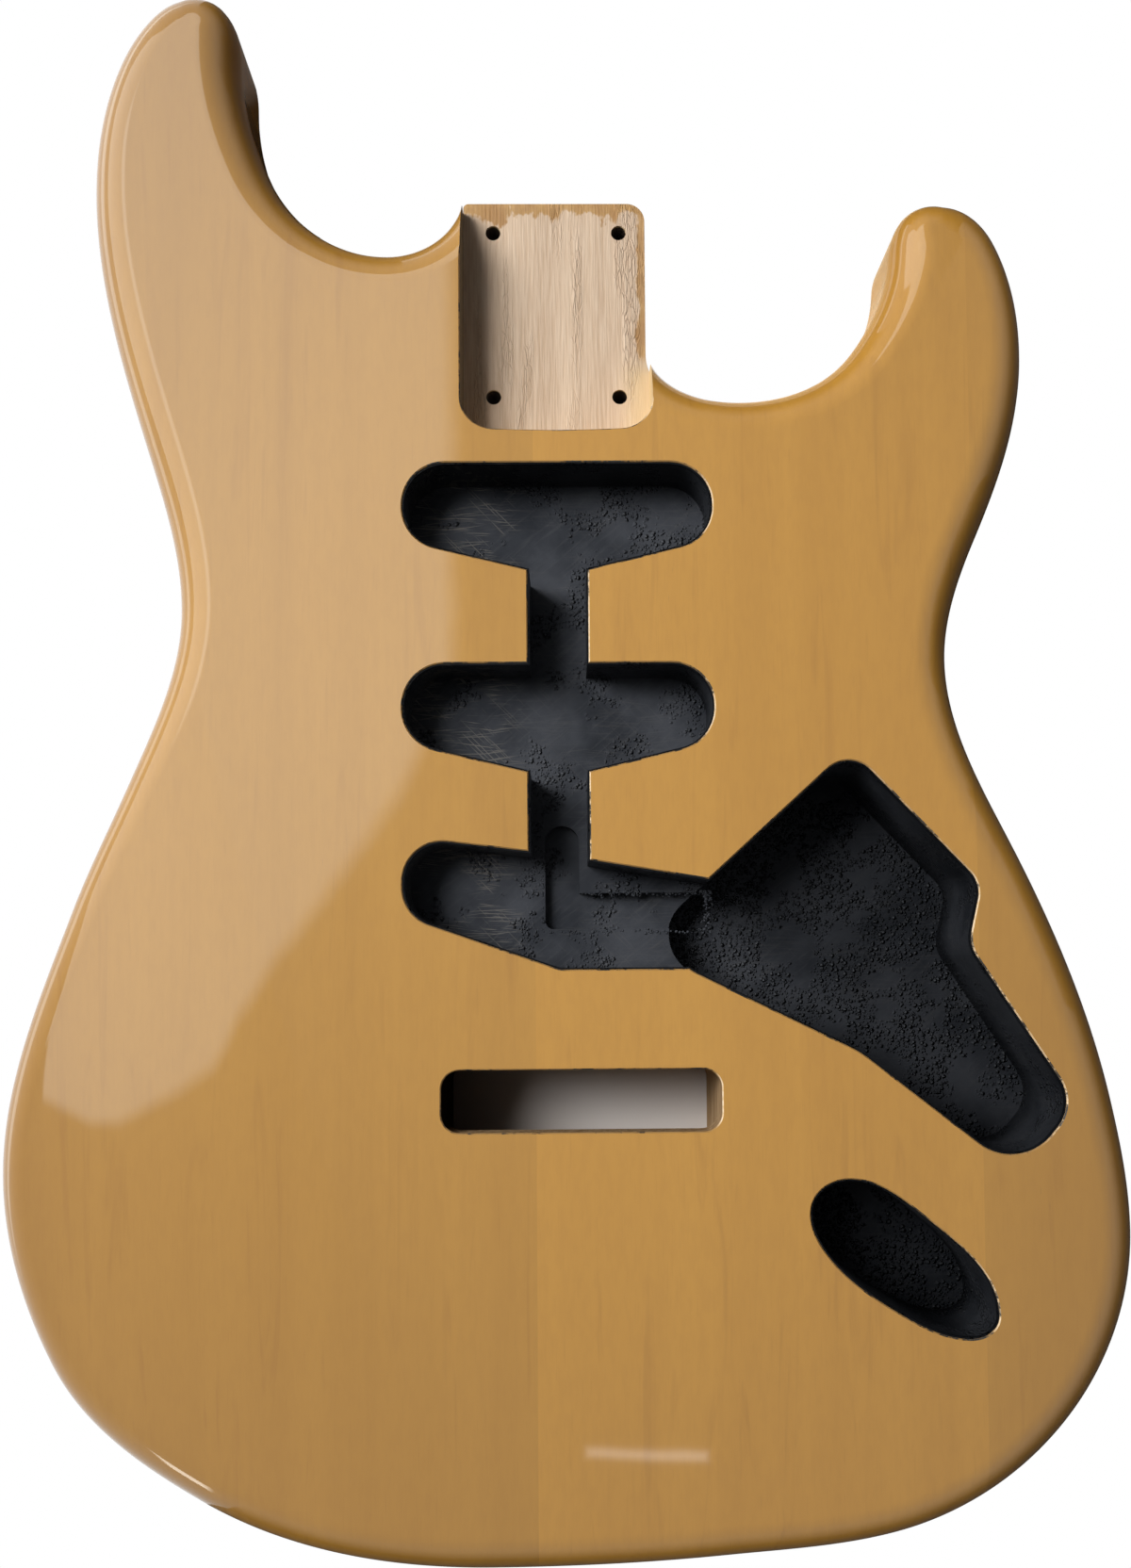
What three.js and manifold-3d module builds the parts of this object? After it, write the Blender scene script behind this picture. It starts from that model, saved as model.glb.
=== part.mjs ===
// A bare electric guitar body: a solid double cutaway body of four glued boards with its routed cavities,
// and the black conductive coat that lines them.
// Sizes are in millimetres. The origin is the middle of the four neck screws on the floor of the neck
// pocket, +X is the treble side, +Y points to the neck and +Z is the front.

import * as THREE from 'three';
import { mergeVertices } from 'three/addons/utils/BufferGeometryUtils.js';
import Module from 'manifold-3d';

const wasm = await Module();
wasm.setup();

// Body
const bodyWidth = 330;
const bodyLength = 462;
const bodyThickness = 44.5;
const edgeRadius = 12;
const leastSideWall = 4;
const forearmDrop = 10;
const bellyRise = 13;
const bassGlueLine = -7;
const trebleBoardWidth = 45.33;

// Neck pocket and heel
const pocketDepth = 16;
const pocketWidth = 56.2;
const pocketToTail = 42.2;
const pocketBowRadius = 300;
const pocketCornerRadius = 9.5;
const heelToNeck = 34.5;
const heelSideToTail = 12;
const heelStepIn = 1.1;
const heelCornerRadius = 5.5;
const heelBassCornerRadius = 1.6;
const heelBassLip = 3;
const heelEdgeRadius = 2.5;
const neckScrewsAcross = 38.1;
const neckScrewsAlong = 50.8;
const neckScrewHole = 4.5;

// Pickup cavities and the channels between them
const pickupDepth = 19.5;
const pickupHalfWidth = 45;
const pickupEndHeight = 22.9;
const pickupBellyHeight = 31.6;
const pickupEndRadius = 12.5;
const neckPickupTop = 51.4;
const pickupPitch = 58.8;
const channelWidth = 17.6;
const grooveDepth = 23.5;
const grooveWidth = 11.2;
const grooveOffset = 0.7;
const grooveTop = 154.9;
const grooveLegTop = 175.1;
const grooveLegHeight = 11.8;
const grooveCornerRadius = 3;

// Slanted bridge pickup cavity
const bridgePickupTop = 160.2;
const bridgePickupMiddleTop = 165.7;
const bridgePickupTrebleTop = 173.4;
const bridgePickupEnd = 183;
const bridgePickupBottom = 198.65;
const bridgePickupEndRadius = 11.5;
const bridgePickupBottomRadius = 8;

// Control cavity, jack cavity and the drilled wire passages
const controlDepth = 37;
const jackDepth = 35;
const jackPassageBore = 8;
const jackPassageAboveFloor = 9;
const groundPassageBore = 4;
const groundPassageAboveFloor = 4.5;

// Tremolo slot, its wider route from the back, and the spring cavity
const slotWidth = 80;
const slotHeight = 17.8;
const slotOffset = 5.9;
const slotTop = 227.1;
const slotCornerRadius = 5.4;
const blockRouteHeight = 28;
const slotShelf = 9;
const springCavityWidth = 56;
const springCavityWeb = 3.7;
const springCavityLength = 98;
const springCavityDepth = 16;
const springCavityCornerRadius = 9.5;

// Conductive coat
const coatThickness = 0.5;
const coatClearance = 0.3;
const coatBelowFront = 0.8;

// Fineness of the curved faces, the shares of its room that an edge's rounding and a corner's rounding may
// fill, and how far every cut runs past the face that it opens
const outlineStep = THREE.MathUtils.degToRad(6);
const arcStep = THREE.MathUtils.degToRad(15);
const foldShare = 0.9;
const cornerShare = 0.99;
const edgeSteps = 4;
const contourRows = 6;
const boreSides = 16;
const overrun = 5;

const front = pocketDepth;
const back = pocketDepth - bodyThickness;

// How much of the pocket's tail end is bowed between its rounded corners.
const pocketBowShare = 0.69;

// The waist and the widest point on the treble side.
const trebleWaistShare = -0.234;
const trebleBoutShare = 0.501;

// Stations of the outline in clockwise order, as seen from the front: shares of the body's width and of its
// length, the heading in degrees, and the share of the edge radius.
const bassHornShares = [
  [-0.328, 0.2, 0, 0.97],
  [-0.301, 0.1935, -38, 0.95],
  [-0.288, 0.178, -72, 0.9],
  [-0.285, 0.152, -84, 0.95],
  [-0.259, 0.084, -66, 1],
  [-0.152, 0.031, 0, 1],
  [-0.109, 0.041, 37, 1],
];
const trebleSideShares = [
  [0.158, -0.065, -2, 1],
  [0.266, -0.033, 53, 1],
  [0.3025, 0.029, 85, 1],
  [0.3115, 0.0515, 55, 0.95],
  [0.348, 0.063, 0, 1],
  [0.398, 0.038, -62.5, 1],
  [0.42, -0.039, -91, 1],
  [0.376, -0.155, -113.5, 1],
  [0.347, trebleWaistShare, -90, 1],
  [0.404, -0.353, -63.7, 1],
  [0.486, -0.513, -78, 1],
  [trebleBoutShare, -0.595, -90, 1],
  [0.439, -0.714, -130, 1],
  [0.289, -0.781, -166, 1],
  [0.142, -0.794, -175, 1],
];
const bassSideShares = [
  [-0.061, -0.8, 180, 1],
  [-0.318, -0.761, 152, 1],
  [-0.454, -0.679, 119, 1],
  [-0.501, -0.558, 90, 1],
  [-0.435, -0.39, 68, 1],
  [-0.384, -0.311, 65.6, 1],
  [-0.337, -0.201, 90, 1],
  [-0.369, -0.093, 107.3, 1],
  [-0.416, 0.074, 90, 1],
  [-0.392, 0.16, 65, 1],
  [-0.369, 0.185, 48, 1],
];

// Where each contour's inner line starts at the edge, its middle, and where it ends at the edge, in clockwise
// order and as shares of the body's width and length.
const forearmLineShares = [[-0.061, -0.8], [-0.218, -0.5], [-0.344, -0.237]];
const bellyLineShares = [[-0.458, -0.45], [-0.136, -0.2], [-0.415, 0.04]];

// Corners of the control cavity, as shares of the body's width and length from the bass end of the cavity
// and the tail side of the bridge pickup cavity, each with the share of the pickup end radius that rounds it.
const controlCornerShares = [
  [0.158, 0.137, 0.72],
  [0.271, 0.052, 0.72],
  [0.259, 0.014, 0.8],
  [0.35, -0.085, 0.96],
  [0.299, -0.128, 1.2],
  [0.163, -0.052, 2.4],
  [-0.029, 0.015, 1.04],
];
const controlJoinShare = 0.042;

// Stations of the jack cavity, with the heading in degrees, and the ends of its passage, measured in the same
// way.
const jackShares = [
  [0.118, -0.151, 90],
  [0.152, -0.13, 0],
  [0.216, -0.153, -39],
  [0.279, -0.214, -90],
  [0.255, -0.228, 180],
  [0.184, -0.208, 148],
  [0.135, -0.179, 129],
];
const jackPassageShares = [[0.205, -0.055], [0.166, -0.147]];
const groundPassageShare = 0.018;

// A point of a closed curve: its place, its headings in and out, and the radii of its front and back edges.
function station(x, y, headingIn, headingOut, frontEdge = 0, backEdge = 0) {
  return {
    place: new THREE.Vector2(x, y),
    headingIn: THREE.MathUtils.degToRad(headingIn),
    headingOut: THREE.MathUtils.degToRad(headingOut),
    frontEdge,
    backEdge,
  };
}

function stationFromShares([across, along, heading, edgeShare]) {
  const edge = edgeShare * edgeRadius;
  return station(across * bodyWidth, along * bodyLength, heading, heading, edge, edge);
}

function pointFromShares([across, along]) {
  return new THREE.Vector2(across * bodyWidth, along * bodyLength);
}

// A point of the electronics cavities, measured from the bass end of the control cavity.
function cavityPoint([across, along]) {
  const bassEnd = springCavityWidth / 2 + springCavityWeb;
  return new THREE.Vector2(bassEnd + across * bodyWidth, along * bodyLength - bridgePickupBottom);
}

function direction(heading) {
  return new THREE.Vector2(Math.cos(heading), Math.sin(heading));
}

function angleBetween(heading, other) {
  return Math.acos(THREE.MathUtils.clamp(direction(heading).dot(direction(other)), -1, 1));
}

// Samples a closed curve that runs smoothly from station to station.
function sampleStations(stations) {
  const samples = [];
  stations.forEach((from, index) => {
    const to = stations[(index + 1) % stations.length];
    const chord = to.place.clone().sub(from.place);
    const turn = angleBetween(from.headingOut, to.headingIn);
    const bend = angleBetween(from.headingOut, chord.angle()) + angleBetween(chord.angle(), to.headingIn);
    const handle = chord.length() / (3 * Math.cos(turn / 4) ** 2);
    const curve = new THREE.CubicBezierCurve(
      from.place,
      from.place.clone().addScaledVector(direction(from.headingOut), handle),
      to.place.clone().addScaledVector(direction(to.headingIn), -handle),
      to.place,
    );
    const steps = Math.max(1, Math.ceil(bend / outlineStep));
    for (let step = 0; step < steps; step += 1) {
      const share = step / steps;
      const blend = THREE.MathUtils.smoothstep(share, 0, 1);
      samples.push({
        place: curve.getPoint(share),
        frontEdge: THREE.MathUtils.lerp(from.frontEdge, to.frontEdge, blend),
        backEdge: THREE.MathUtils.lerp(from.backEdge, to.backEdge, blend),
      });
    }
  });
  return samples;
}

// The step from each point of a clockwise outline that moves both its edges inwards by one unit.
function inwardSteps(points) {
  return points.map((point, index) => {
    const before = point.clone().sub(points.at(index - 1)).normalize();
    const after = points[(index + 1) % points.length].clone().sub(point).normalize();
    const middle = before.clone().add(after).normalize();
    const inward = new THREE.Vector2(middle.y, -middle.x);
    return inward.divideScalar(middle.dot(after));
  });
}

// The furthest that each point may move inwards: a share of the radius of the largest circle that touches the
// outline there and lies within it.
function insetLimits(points) {
  const steps = inwardSteps(points);
  return points.map((point, index) => {
    const inward = steps[index].clone().normalize();
    const radii = points.map((other) => {
      const reach = other.clone().sub(point);
      const depth = reach.dot(inward);
      return depth > 0 ? reach.lengthSq() / (2 * depth) : Infinity;
    });
    return foldShare * Math.min(...radii);
  });
}

function insetPoints(points, inset) {
  const steps = inwardSteps(points);
  return points.map((point, index) => point.clone().addScaledVector(steps[index], inset));
}

// A clockwise polygon moved inwards by an inset, its corners rounded by arcs that its edges have room for.
function roundedOutline(corners, inset = 0) {
  const places = insetPoints(corners.map((corner) => corner.place), inset);
  const turns = places.map((place, index) => {
    const before = place.clone().sub(places.at(index - 1));
    const after = places[(index + 1) % places.length].clone().sub(place);
    return Math.atan2(before.cross(after), before.dot(after));
  });
  const radii = corners.map(({ radius }, index) => {
    return radius > 0 ? Math.max(0, radius + Math.sign(turns[index]) * inset) : 0;
  });
  const tangents = radii.map((radius, index) => radius * Math.tan(Math.abs(turns[index]) / 2));
  const rooms = places.map((place, index) => {
    const next = (index + 1) % places.length;
    return Math.min(1, cornerShare * place.distanceTo(places[next]) / (tangents[index] + tangents[next]));
  });
  return places.flatMap((place, index) => {
    const room = Math.min(rooms[index], rooms.at(index - 1));
    const radius = room * radii[index];
    return radius > 0 ? arcPoints(place, places.at(index - 1), turns[index], radius) : [place];
  });
}

// The points of the arc that rounds a corner, which is reached from the point before it.
function arcPoints(place, from, turn, radius) {
  const before = place.clone().sub(from).normalize();
  const side = Math.sign(turn);
  const start = place.clone().addScaledVector(before, -radius * Math.tan(Math.abs(turn) / 2));
  const centre = start.clone().addScaledVector(new THREE.Vector2(-before.y, before.x), side * radius);
  const steps = Math.max(2, Math.ceil(Math.abs(turn) / arcStep));
  return Array.from({ length: steps + 1 }, (_, step) => {
    return start.clone().rotateAround(centre, turn * step / steps);
  });
}

function corner(x, y, radius = 0) {
  return { place: new THREE.Vector2(x, y), radius };
}

// A rounded rectangle given by its bass side, treble side, neck side and tail side.
function rectangle(left, right, top, bottom, radius, inset = 0) {
  return roundedOutline([
    corner(left, top, radius),
    corner(right, top, radius),
    corner(right, bottom, radius),
    corner(left, bottom, radius),
  ], inset);
}

function solidFromGeometry(geometry) {
  geometry.deleteAttribute('normal');
  geometry.deleteAttribute('uv');
  const merged = mergeVertices(geometry);
  const vertProperties = new Float32Array(merged.attributes.position.array);
  const triVerts = new Uint32Array(merged.index.array);
  return new wasm.Manifold(new wasm.Mesh({ numProp: 3, vertProperties, triVerts }));
}

function prism(outline, bottom, top) {
  const shape = new THREE.Shape(outline);
  const geometry = new THREE.ExtrudeGeometry(shape, { depth: top - bottom, bevelEnabled: false });
  geometry.translate(0, 0, bottom);
  return solidFromGeometry(geometry);
}

function bore(from, to, diameter) {
  const axis = to.clone().sub(from);
  const geometry = new THREE.CylinderGeometry(diameter / 2, diameter / 2, axis.length(), boreSides);
  geometry.applyQuaternion(
    new THREE.Quaternion().setFromUnitVectors(new THREE.Vector3(0, 1, 0), axis.clone().normalize()),
  );
  geometry.translate(...from.clone().lerp(to, 0.5).toArray());
  return solidFromGeometry(geometry);
}

function joined(solids) {
  return solids.reduce((all, solid) => all.add(solid));
}

// The outline of the blank, whose heel runs on past its end until it is trimmed.
function outlineStations() {
  const bassSide = -pocketWidth / 2;
  const trebleSide = pocketWidth / 2 - heelStepIn;
  const blankEnd = heelToNeck + edgeRadius + overrun;
  return [
    ...bassHornShares.map(stationFromShares),
    station(bassSide, heelToNeck - heelBassLip, 80, 90, edgeRadius, heelEdgeRadius),
    station(bassSide, blankEnd, 90, 0, edgeRadius, heelEdgeRadius),
    station(trebleSide, blankEnd, 0, -90, edgeRadius, heelEdgeRadius),
    station(trebleSide, -heelSideToTail, -90, -90, edgeRadius, heelEdgeRadius),
    ...trebleSideShares.map(stationFromShares),
    ...bassSideShares.map(stationFromShares),
  ];
}

function nearestIndex(samples, place) {
  const distances = samples.map((sample) => sample.place.distanceTo(place));
  return distances.indexOf(Math.min(...distances));
}

// A contour lowers the face between its inner line and the body's edge. It fades in and out along the edge.
function contourAlong(samples, lineShares, depth) {
  const [start, middle, end] = lineShares.map(pointFromShares);
  const first = nearestIndex(samples, start);
  const last = nearestIndex(samples, end);
  const lengths = [0];
  for (let index = first; index < last; index += 1) {
    lengths.push(lengths.at(-1) + samples[index].place.distanceTo(samples[index + 1].place));
  }
  const line = new THREE.QuadraticBezierCurve(samples[first].place, middle, samples[last].place);
  samples.forEach((sample, index) => {
    const inside = index > first && index < last;
    sample.way = inside ? lengths[index - first] / lengths.at(-1) : 0;
    sample.drop = depth * Math.sin(Math.PI * sample.way) ** 2;
    const reach = line.getPoint(sample.way).distanceTo(sample.place);
    sample.tilt = inside ? Math.atan(2 * sample.drop / reach) : 0;
  });
  return { first, last, middle };
}

// The body before it is routed: rings of points from the back face to the front face, with rounded edges,
// closed by the two faces and their contours.
function bodyForm() {
  const outline = sampleStations(outlineStations());
  const places = outline.map((sample) => sample.place);
  const inward = inwardSteps(places);
  const limits = insetLimits(places);
  const frontSide = outline.map(({ place, frontEdge }) => ({ place, edge: frontEdge }));
  const backSide = outline.map(({ place, backEdge }) => ({ place, edge: backEdge }));
  const forearm = contourAlong(frontSide, forearmLineShares, forearmDrop);
  const belly = contourAlong(backSide, bellyLineShares, bellyRise);
  const count = outline.length;
  const positions = [];
  const triangles = [];

  // One ring of a rounded edge, from the face (share 0) to the side wall (share 1).
  function edgeRing(side, face, up, share) {
    side.forEach((sample, index) => {
      const wall = bodyThickness - frontSide[index].drop - backSide[index].drop;
      const radius = Math.min(sample.edge, (wall - leastSideWall) / 2, limits[index]);
      const angle = THREE.MathUtils.lerp(sample.tilt, Math.PI / 2, share);
      const place = sample.place.clone().addScaledVector(inward[index], radius * (1 - Math.sin(angle)));
      const depth = sample.drop + radius * (Math.cos(sample.tilt) - Math.cos(angle));
      positions.push(place.x, place.y, face - up * depth);
    });
  }

  function point(index) {
    return new THREE.Vector3().fromArray(positions, 3 * index);
  }

  function addFacing(up, a, b, c) {
    const area = THREE.ShapeUtils.area([point(a), point(b), point(c)]);
    triangles.push(...(area * up > 0 ? [a, b, c] : [a, c, b]));
  }

  // The flat part of a face, and the rows of its contour from the inner line to the edge ring.
  function closeFace(ringStart, face, up, side, contour) {
    const { first, last, middle } = contour;
    const ends = [point(ringStart + first), point(ringStart + last)];
    const line = new THREE.QuadraticBezierCurve(ends[0], middle, ends[1]);
    const rows = [];
    for (let row = 0; row < contourRows; row += 1) {
      const share = row / contourRows;
      const indices = [];
      for (let index = first; index <= last; index += 1) {
        if (index === first || index === last) {
          indices.push(ringStart + index);
          continue;
        }
        const inner = line.getPoint(side[index].way);
        const edge = point(ringStart + index);
        indices.push(positions.length / 3);
        positions.push(
          THREE.MathUtils.lerp(inner.x, edge.x, share),
          THREE.MathUtils.lerp(inner.y, edge.y, share),
          face - up * side[index].drop * share ** 2,
        );
      }
      rows.push(indices);
    }
    rows.push(rows[0].map((_, step) => ringStart + first + step));
    rows.slice(1).forEach((outer, row) => {
      const inner = rows[row];
      for (let step = 0; step + 1 < outer.length; step += 1) {
        if (outer[step] !== inner[step]) {
          addFacing(up, inner[step], outer[step], inner[step + 1]);
        }
        if (outer[step + 1] !== inner[step + 1]) {
          addFacing(up, outer[step], outer[step + 1], inner[step + 1]);
        }
      }
    });
    const flat = [];
    for (let index = 0; index < first; index += 1) {
      flat.push(ringStart + index);
    }
    flat.push(...rows[0]);
    for (let index = last + 1; index < count; index += 1) {
      flat.push(ringStart + index);
    }
    const faces = THREE.ShapeUtils.triangulateShape(flat.map((index) => point(index)), []);
    faces.forEach(([a, b, c]) => addFacing(up, flat[a], flat[b], flat[c]));
  }

  for (let step = 0; step <= edgeSteps; step += 1) {
    edgeRing(backSide, back, -1, step / edgeSteps);
  }
  for (let step = edgeSteps; step >= 0; step -= 1) {
    edgeRing(frontSide, front, 1, step / edgeSteps);
  }
  const ringCount = 2 * (edgeSteps + 1);
  for (let ring = 0; ring + 1 < ringCount; ring += 1) {
    for (let index = 0; index < count; index += 1) {
      const next = (index + 1) % count;
      const lower = ring * count;
      const upper = lower + count;
      triangles.push(lower + index, upper + index, upper + next);
      triangles.push(lower + index, upper + next, lower + next);
    }
  }
  closeFace(0, back, -1, backSide, belly);
  closeFace((ringCount - 1) * count, front, 1, frontSide, forearm);

  const geometry = new THREE.BufferGeometry();
  geometry.setAttribute('position', new THREE.Float32BufferAttribute(positions, 3));
  geometry.setIndex(triangles);
  return solidFromGeometry(geometry);
}

// Trims the heel to its length and rounds its two corners.
function heelTrim() {
  const bassSide = -pocketWidth / 2;
  const trebleSide = pocketWidth / 2 - heelStepIn;
  const outside = pocketWidth / 2 + overrun;
  const beyond = heelToNeck + edgeRadius + 2 * overrun;
  const trebleStart = heelToNeck - 2 * heelCornerRadius;
  const bassStart = heelToNeck - heelBassLip;
  const outline = roundedOutline([
    corner(-outside, beyond),
    corner(outside, beyond),
    corner(outside, trebleStart),
    corner(trebleSide, trebleStart),
    corner(trebleSide, heelToNeck, heelCornerRadius),
    corner(bassSide, heelToNeck, heelBassCornerRadius),
    corner(bassSide, bassStart),
    corner(-outside, bassStart),
  ]);
  return prism(outline, back - overrun, front + overrun);
}

function neckPocket() {
  const side = pocketWidth / 2;
  const bow = pocketBowShare * side * (side - pocketCornerRadius) / pocketBowRadius;
  const outline = roundedOutline([
    corner(-side, heelToNeck + overrun),
    corner(side, heelToNeck + overrun),
    corner(side, bow - pocketToTail, pocketCornerRadius),
    corner(0, -pocketToTail, pocketBowRadius),
    corner(-side, bow - pocketToTail, pocketCornerRadius),
  ]);
  return prism(outline, 0, front + overrun);
}

function neckScrewHoles() {
  const holes = [];
  for (const across of [-1, 1]) {
    for (const along of [-1, 1]) {
      const x = across * neckScrewsAcross / 2;
      const y = along * neckScrewsAlong / 2;
      const behind = new THREE.Vector3(x, y, back - overrun);
      const above = new THREE.Vector3(x, y, overrun);
      holes.push(bore(behind, above, neckScrewHole));
    }
  }
  return joined(holes);
}

// A pickup cavity with round ends, whose tail side bellies towards the channel.
function pickupOutline(top, inset) {
  const end = top + pickupEndHeight;
  const belly = top + pickupBellyHeight;
  const side = channelWidth / 2;
  return roundedOutline([
    corner(-pickupHalfWidth, -top, pickupEndRadius),
    corner(pickupHalfWidth, -top, pickupEndRadius),
    corner(pickupHalfWidth, -end, pickupEndRadius),
    corner(side, -belly),
    corner(-side, -belly),
    corner(-pickupHalfWidth, -end, pickupEndRadius),
  ], inset);
}

// The slanted cavity of the bridge pickup, which runs on into the control cavity.
function bridgePickupOutline(inset) {
  const join = cavityPoint([controlJoinShare, 0]).x;
  return roundedOutline([
    corner(-pickupHalfWidth, -bridgePickupTop, bridgePickupEndRadius),
    corner(0, -bridgePickupMiddleTop),
    corner(join, -bridgePickupTrebleTop),
    corner(join, -bridgePickupBottom),
    corner(0, -bridgePickupBottom, bridgePickupBottomRadius),
    corner(-pickupHalfWidth, -bridgePickupEnd, bridgePickupEndRadius),
  ], inset);
}

function channelOutline(inset) {
  const side = channelWidth / 2;
  const top = neckPickupTop + pickupEndHeight;
  return rectangle(-side, side, -top, -bridgePickupEnd, 0, inset);
}

// The groove in the floor for the pickup wires: a leg towards the neck and a leg towards the control cavity.
function grooveOutlines(inset) {
  const left = grooveOffset - grooveWidth / 2;
  const right = grooveOffset + grooveWidth / 2;
  const legBottom = grooveLegTop + grooveLegHeight;
  const join = cavityPoint([controlJoinShare, 0]).x;
  const topRadius = grooveWidth / 2;
  const leg = [
    corner(left, -grooveTop, topRadius),
    corner(right, -grooveTop, topRadius),
    corner(right, -legBottom),
    corner(left, -legBottom, grooveCornerRadius),
  ];
  return [
    roundedOutline(leg, inset),
    rectangle(grooveOffset, join, -grooveLegTop, -legBottom, 0, inset),
  ];
}

function controlOutline(inset) {
  const corners = controlCornerShares.map((shares) => {
    const { x, y } = cavityPoint(shares);
    return corner(x, y, shares[2] * pickupEndRadius);
  });
  return roundedOutline(corners, inset);
}

function jackOutline(inset) {
  const stations = jackShares.map((shares) => {
    const { x, y } = cavityPoint(shares);
    return station(x, y, shares[2], shares[2]);
  });
  return insetPoints(sampleStations(stations).map((sample) => sample.place), inset);
}

// The space of the electronics cavities: inset from their walls, and raised from their floors.
function electronicsSpace(inset, raise, top) {
  const pickupFloor = front - pickupDepth + raise;
  const grooveFloor = front - grooveDepth + raise;
  const controlFloor = front - controlDepth + raise;
  return joined([
    prism(pickupOutline(neckPickupTop, inset), pickupFloor, top),
    prism(pickupOutline(neckPickupTop + pickupPitch, inset), pickupFloor, top),
    prism(bridgePickupOutline(inset), pickupFloor, top),
    prism(channelOutline(inset), pickupFloor, top),
    ...grooveOutlines(inset).map((outline) => prism(outline, grooveFloor, top)),
    prism(controlOutline(inset), controlFloor, top),
  ]);
}

function jackSpace(inset, raise, top) {
  return prism(jackOutline(inset), front - jackDepth + raise, top);
}

// The passage for the output wires, and the one for the ground wire of the springs.
function wirePassages() {
  const jackHeight = front - controlDepth + jackPassageAboveFloor;
  const ends = jackPassageShares.map((shares) => {
    const { x, y } = cavityPoint(shares);
    return new THREE.Vector3(x, y, jackHeight);
  });
  const groundHeight = front - controlDepth + groundPassageAboveFloor;
  const groundEnd = cavityPoint([controlJoinShare, groundPassageShare]);
  const ground = [
    new THREE.Vector3(springCavityWidth / 2 - overrun, groundEnd.y, groundHeight),
    new THREE.Vector3(groundEnd.x, groundEnd.y, groundHeight),
  ];
  return joined([bore(...ends, jackPassageBore), bore(...ground, groundPassageBore)]);
}

function tremoloRoutes() {
  const left = slotOffset - slotWidth / 2;
  const right = slotOffset + slotWidth / 2;
  const slot = rectangle(left, right, -slotTop, -slotTop - slotHeight, slotCornerRadius);
  const block = rectangle(left, right, -slotTop, -slotTop - blockRouteHeight, slotCornerRadius);
  const springSide = springCavityWidth / 2;
  const springs = rectangle(
    -springSide,
    springSide,
    springCavityLength - slotTop,
    -slotTop - slotHeight,
    springCavityCornerRadius,
  );
  return joined([
    prism(slot, back - overrun, front + overrun),
    prism(block, back - overrun, front - slotShelf),
    prism(springs, back - overrun, back + springCavityDepth),
  ]);
}

function routedBody() {
  const top = front + overrun;
  const cuts = [
    heelTrim(),
    neckPocket(),
    neckScrewHoles(),
    electronicsSpace(0, 0, top),
    jackSpace(0, 0, top),
    wirePassages(),
    tremoloRoutes(),
  ];
  return cuts.reduce((body, cut) => body.subtract(cut), bodyForm());
}

// A block that is larger than the body, between two glue lines.
function boardBlock(left, right, bottom = -bodyLength, top = bodyLength) {
  return prism(rectangle(left, right, top, bottom, 0), -bodyLength, bodyLength);
}

function coat(space) {
  const shell = space(coatClearance, 0, front - coatBelowFront);
  const hollow = space(coatClearance + coatThickness, coatThickness, front + overrun);
  return shell.subtract(hollow).subtract(wirePassages());
}

function lacqueredWood(color) {
  return new THREE.MeshStandardMaterial({ color, roughness: 0.18, metalness: 0 });
}

function conductiveCoat() {
  return new THREE.MeshStandardMaterial({ color: 0x2b2d30, roughness: 0.62, metalness: 0.1 });
}

function meshFrom(name, solid, material) {
  const { vertProperties, triVerts } = solid.getMesh();
  const geometry = new THREE.BufferGeometry();
  geometry.setAttribute('position', new THREE.Float32BufferAttribute(vertProperties, 3));
  geometry.setIndex(new THREE.Uint32BufferAttribute(triVerts, 1));
  const faceted = geometry.toNonIndexed();
  faceted.computeVertexNormals();
  const mesh = new THREE.Mesh(faceted, material);
  mesh.name = name;
  return mesh;
}

const body = routedBody();
const waist = trebleWaistShare * bodyLength;
const trebleGlueLine = trebleBoutShare * bodyWidth - trebleBoardWidth;
const guitarBody = new THREE.Group();
guitarBody.name = 'guitar_body';
guitarBody.add(
  meshFrom('bass_side_board', body.intersect(boardBlock(-bodyWidth, bassGlueLine)), lacqueredWood(0xc0904c)),
  meshFrom('middle_board', body.intersect(boardBlock(bassGlueLine, trebleGlueLine)), lacqueredWood(0xc6964f)),
  meshFrom(
    'treble_bout_board',
    body.intersect(boardBlock(trebleGlueLine, bodyWidth, -bodyLength, waist)),
    lacqueredWood(0xb88a48),
  ),
  meshFrom(
    'treble_horn_board',
    body.intersect(boardBlock(trebleGlueLine, bodyWidth, waist, bodyLength)),
    lacqueredWood(0xb88a48),
  ),
  meshFrom('cavity_shielding_coat', coat(electronicsSpace), conductiveCoat()),
  meshFrom('jack_cavity_shielding_coat', coat(jackSpace), conductiveCoat()),
);

export default guitarBody;
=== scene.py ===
# The looks of a bare electric guitar body: four boards under clear amber lacquer, a raw neck pocket, and
# cavities brushed with black conductive paint, on a white floor.
# Sizes are in millimetres and angles in degrees, apart from the stage, the camera and the materials.
# +X is the treble side, +Y points to the neck and +Z is the front, and the origin lies between the neck
# screws on the floor of the neck pocket.

import cmath
import math
import random
from collections import namedtuple

import bmesh
import bpy
import numpy as np
from mathutils import Euler, Matrix, Vector, kdtree, noise


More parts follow.
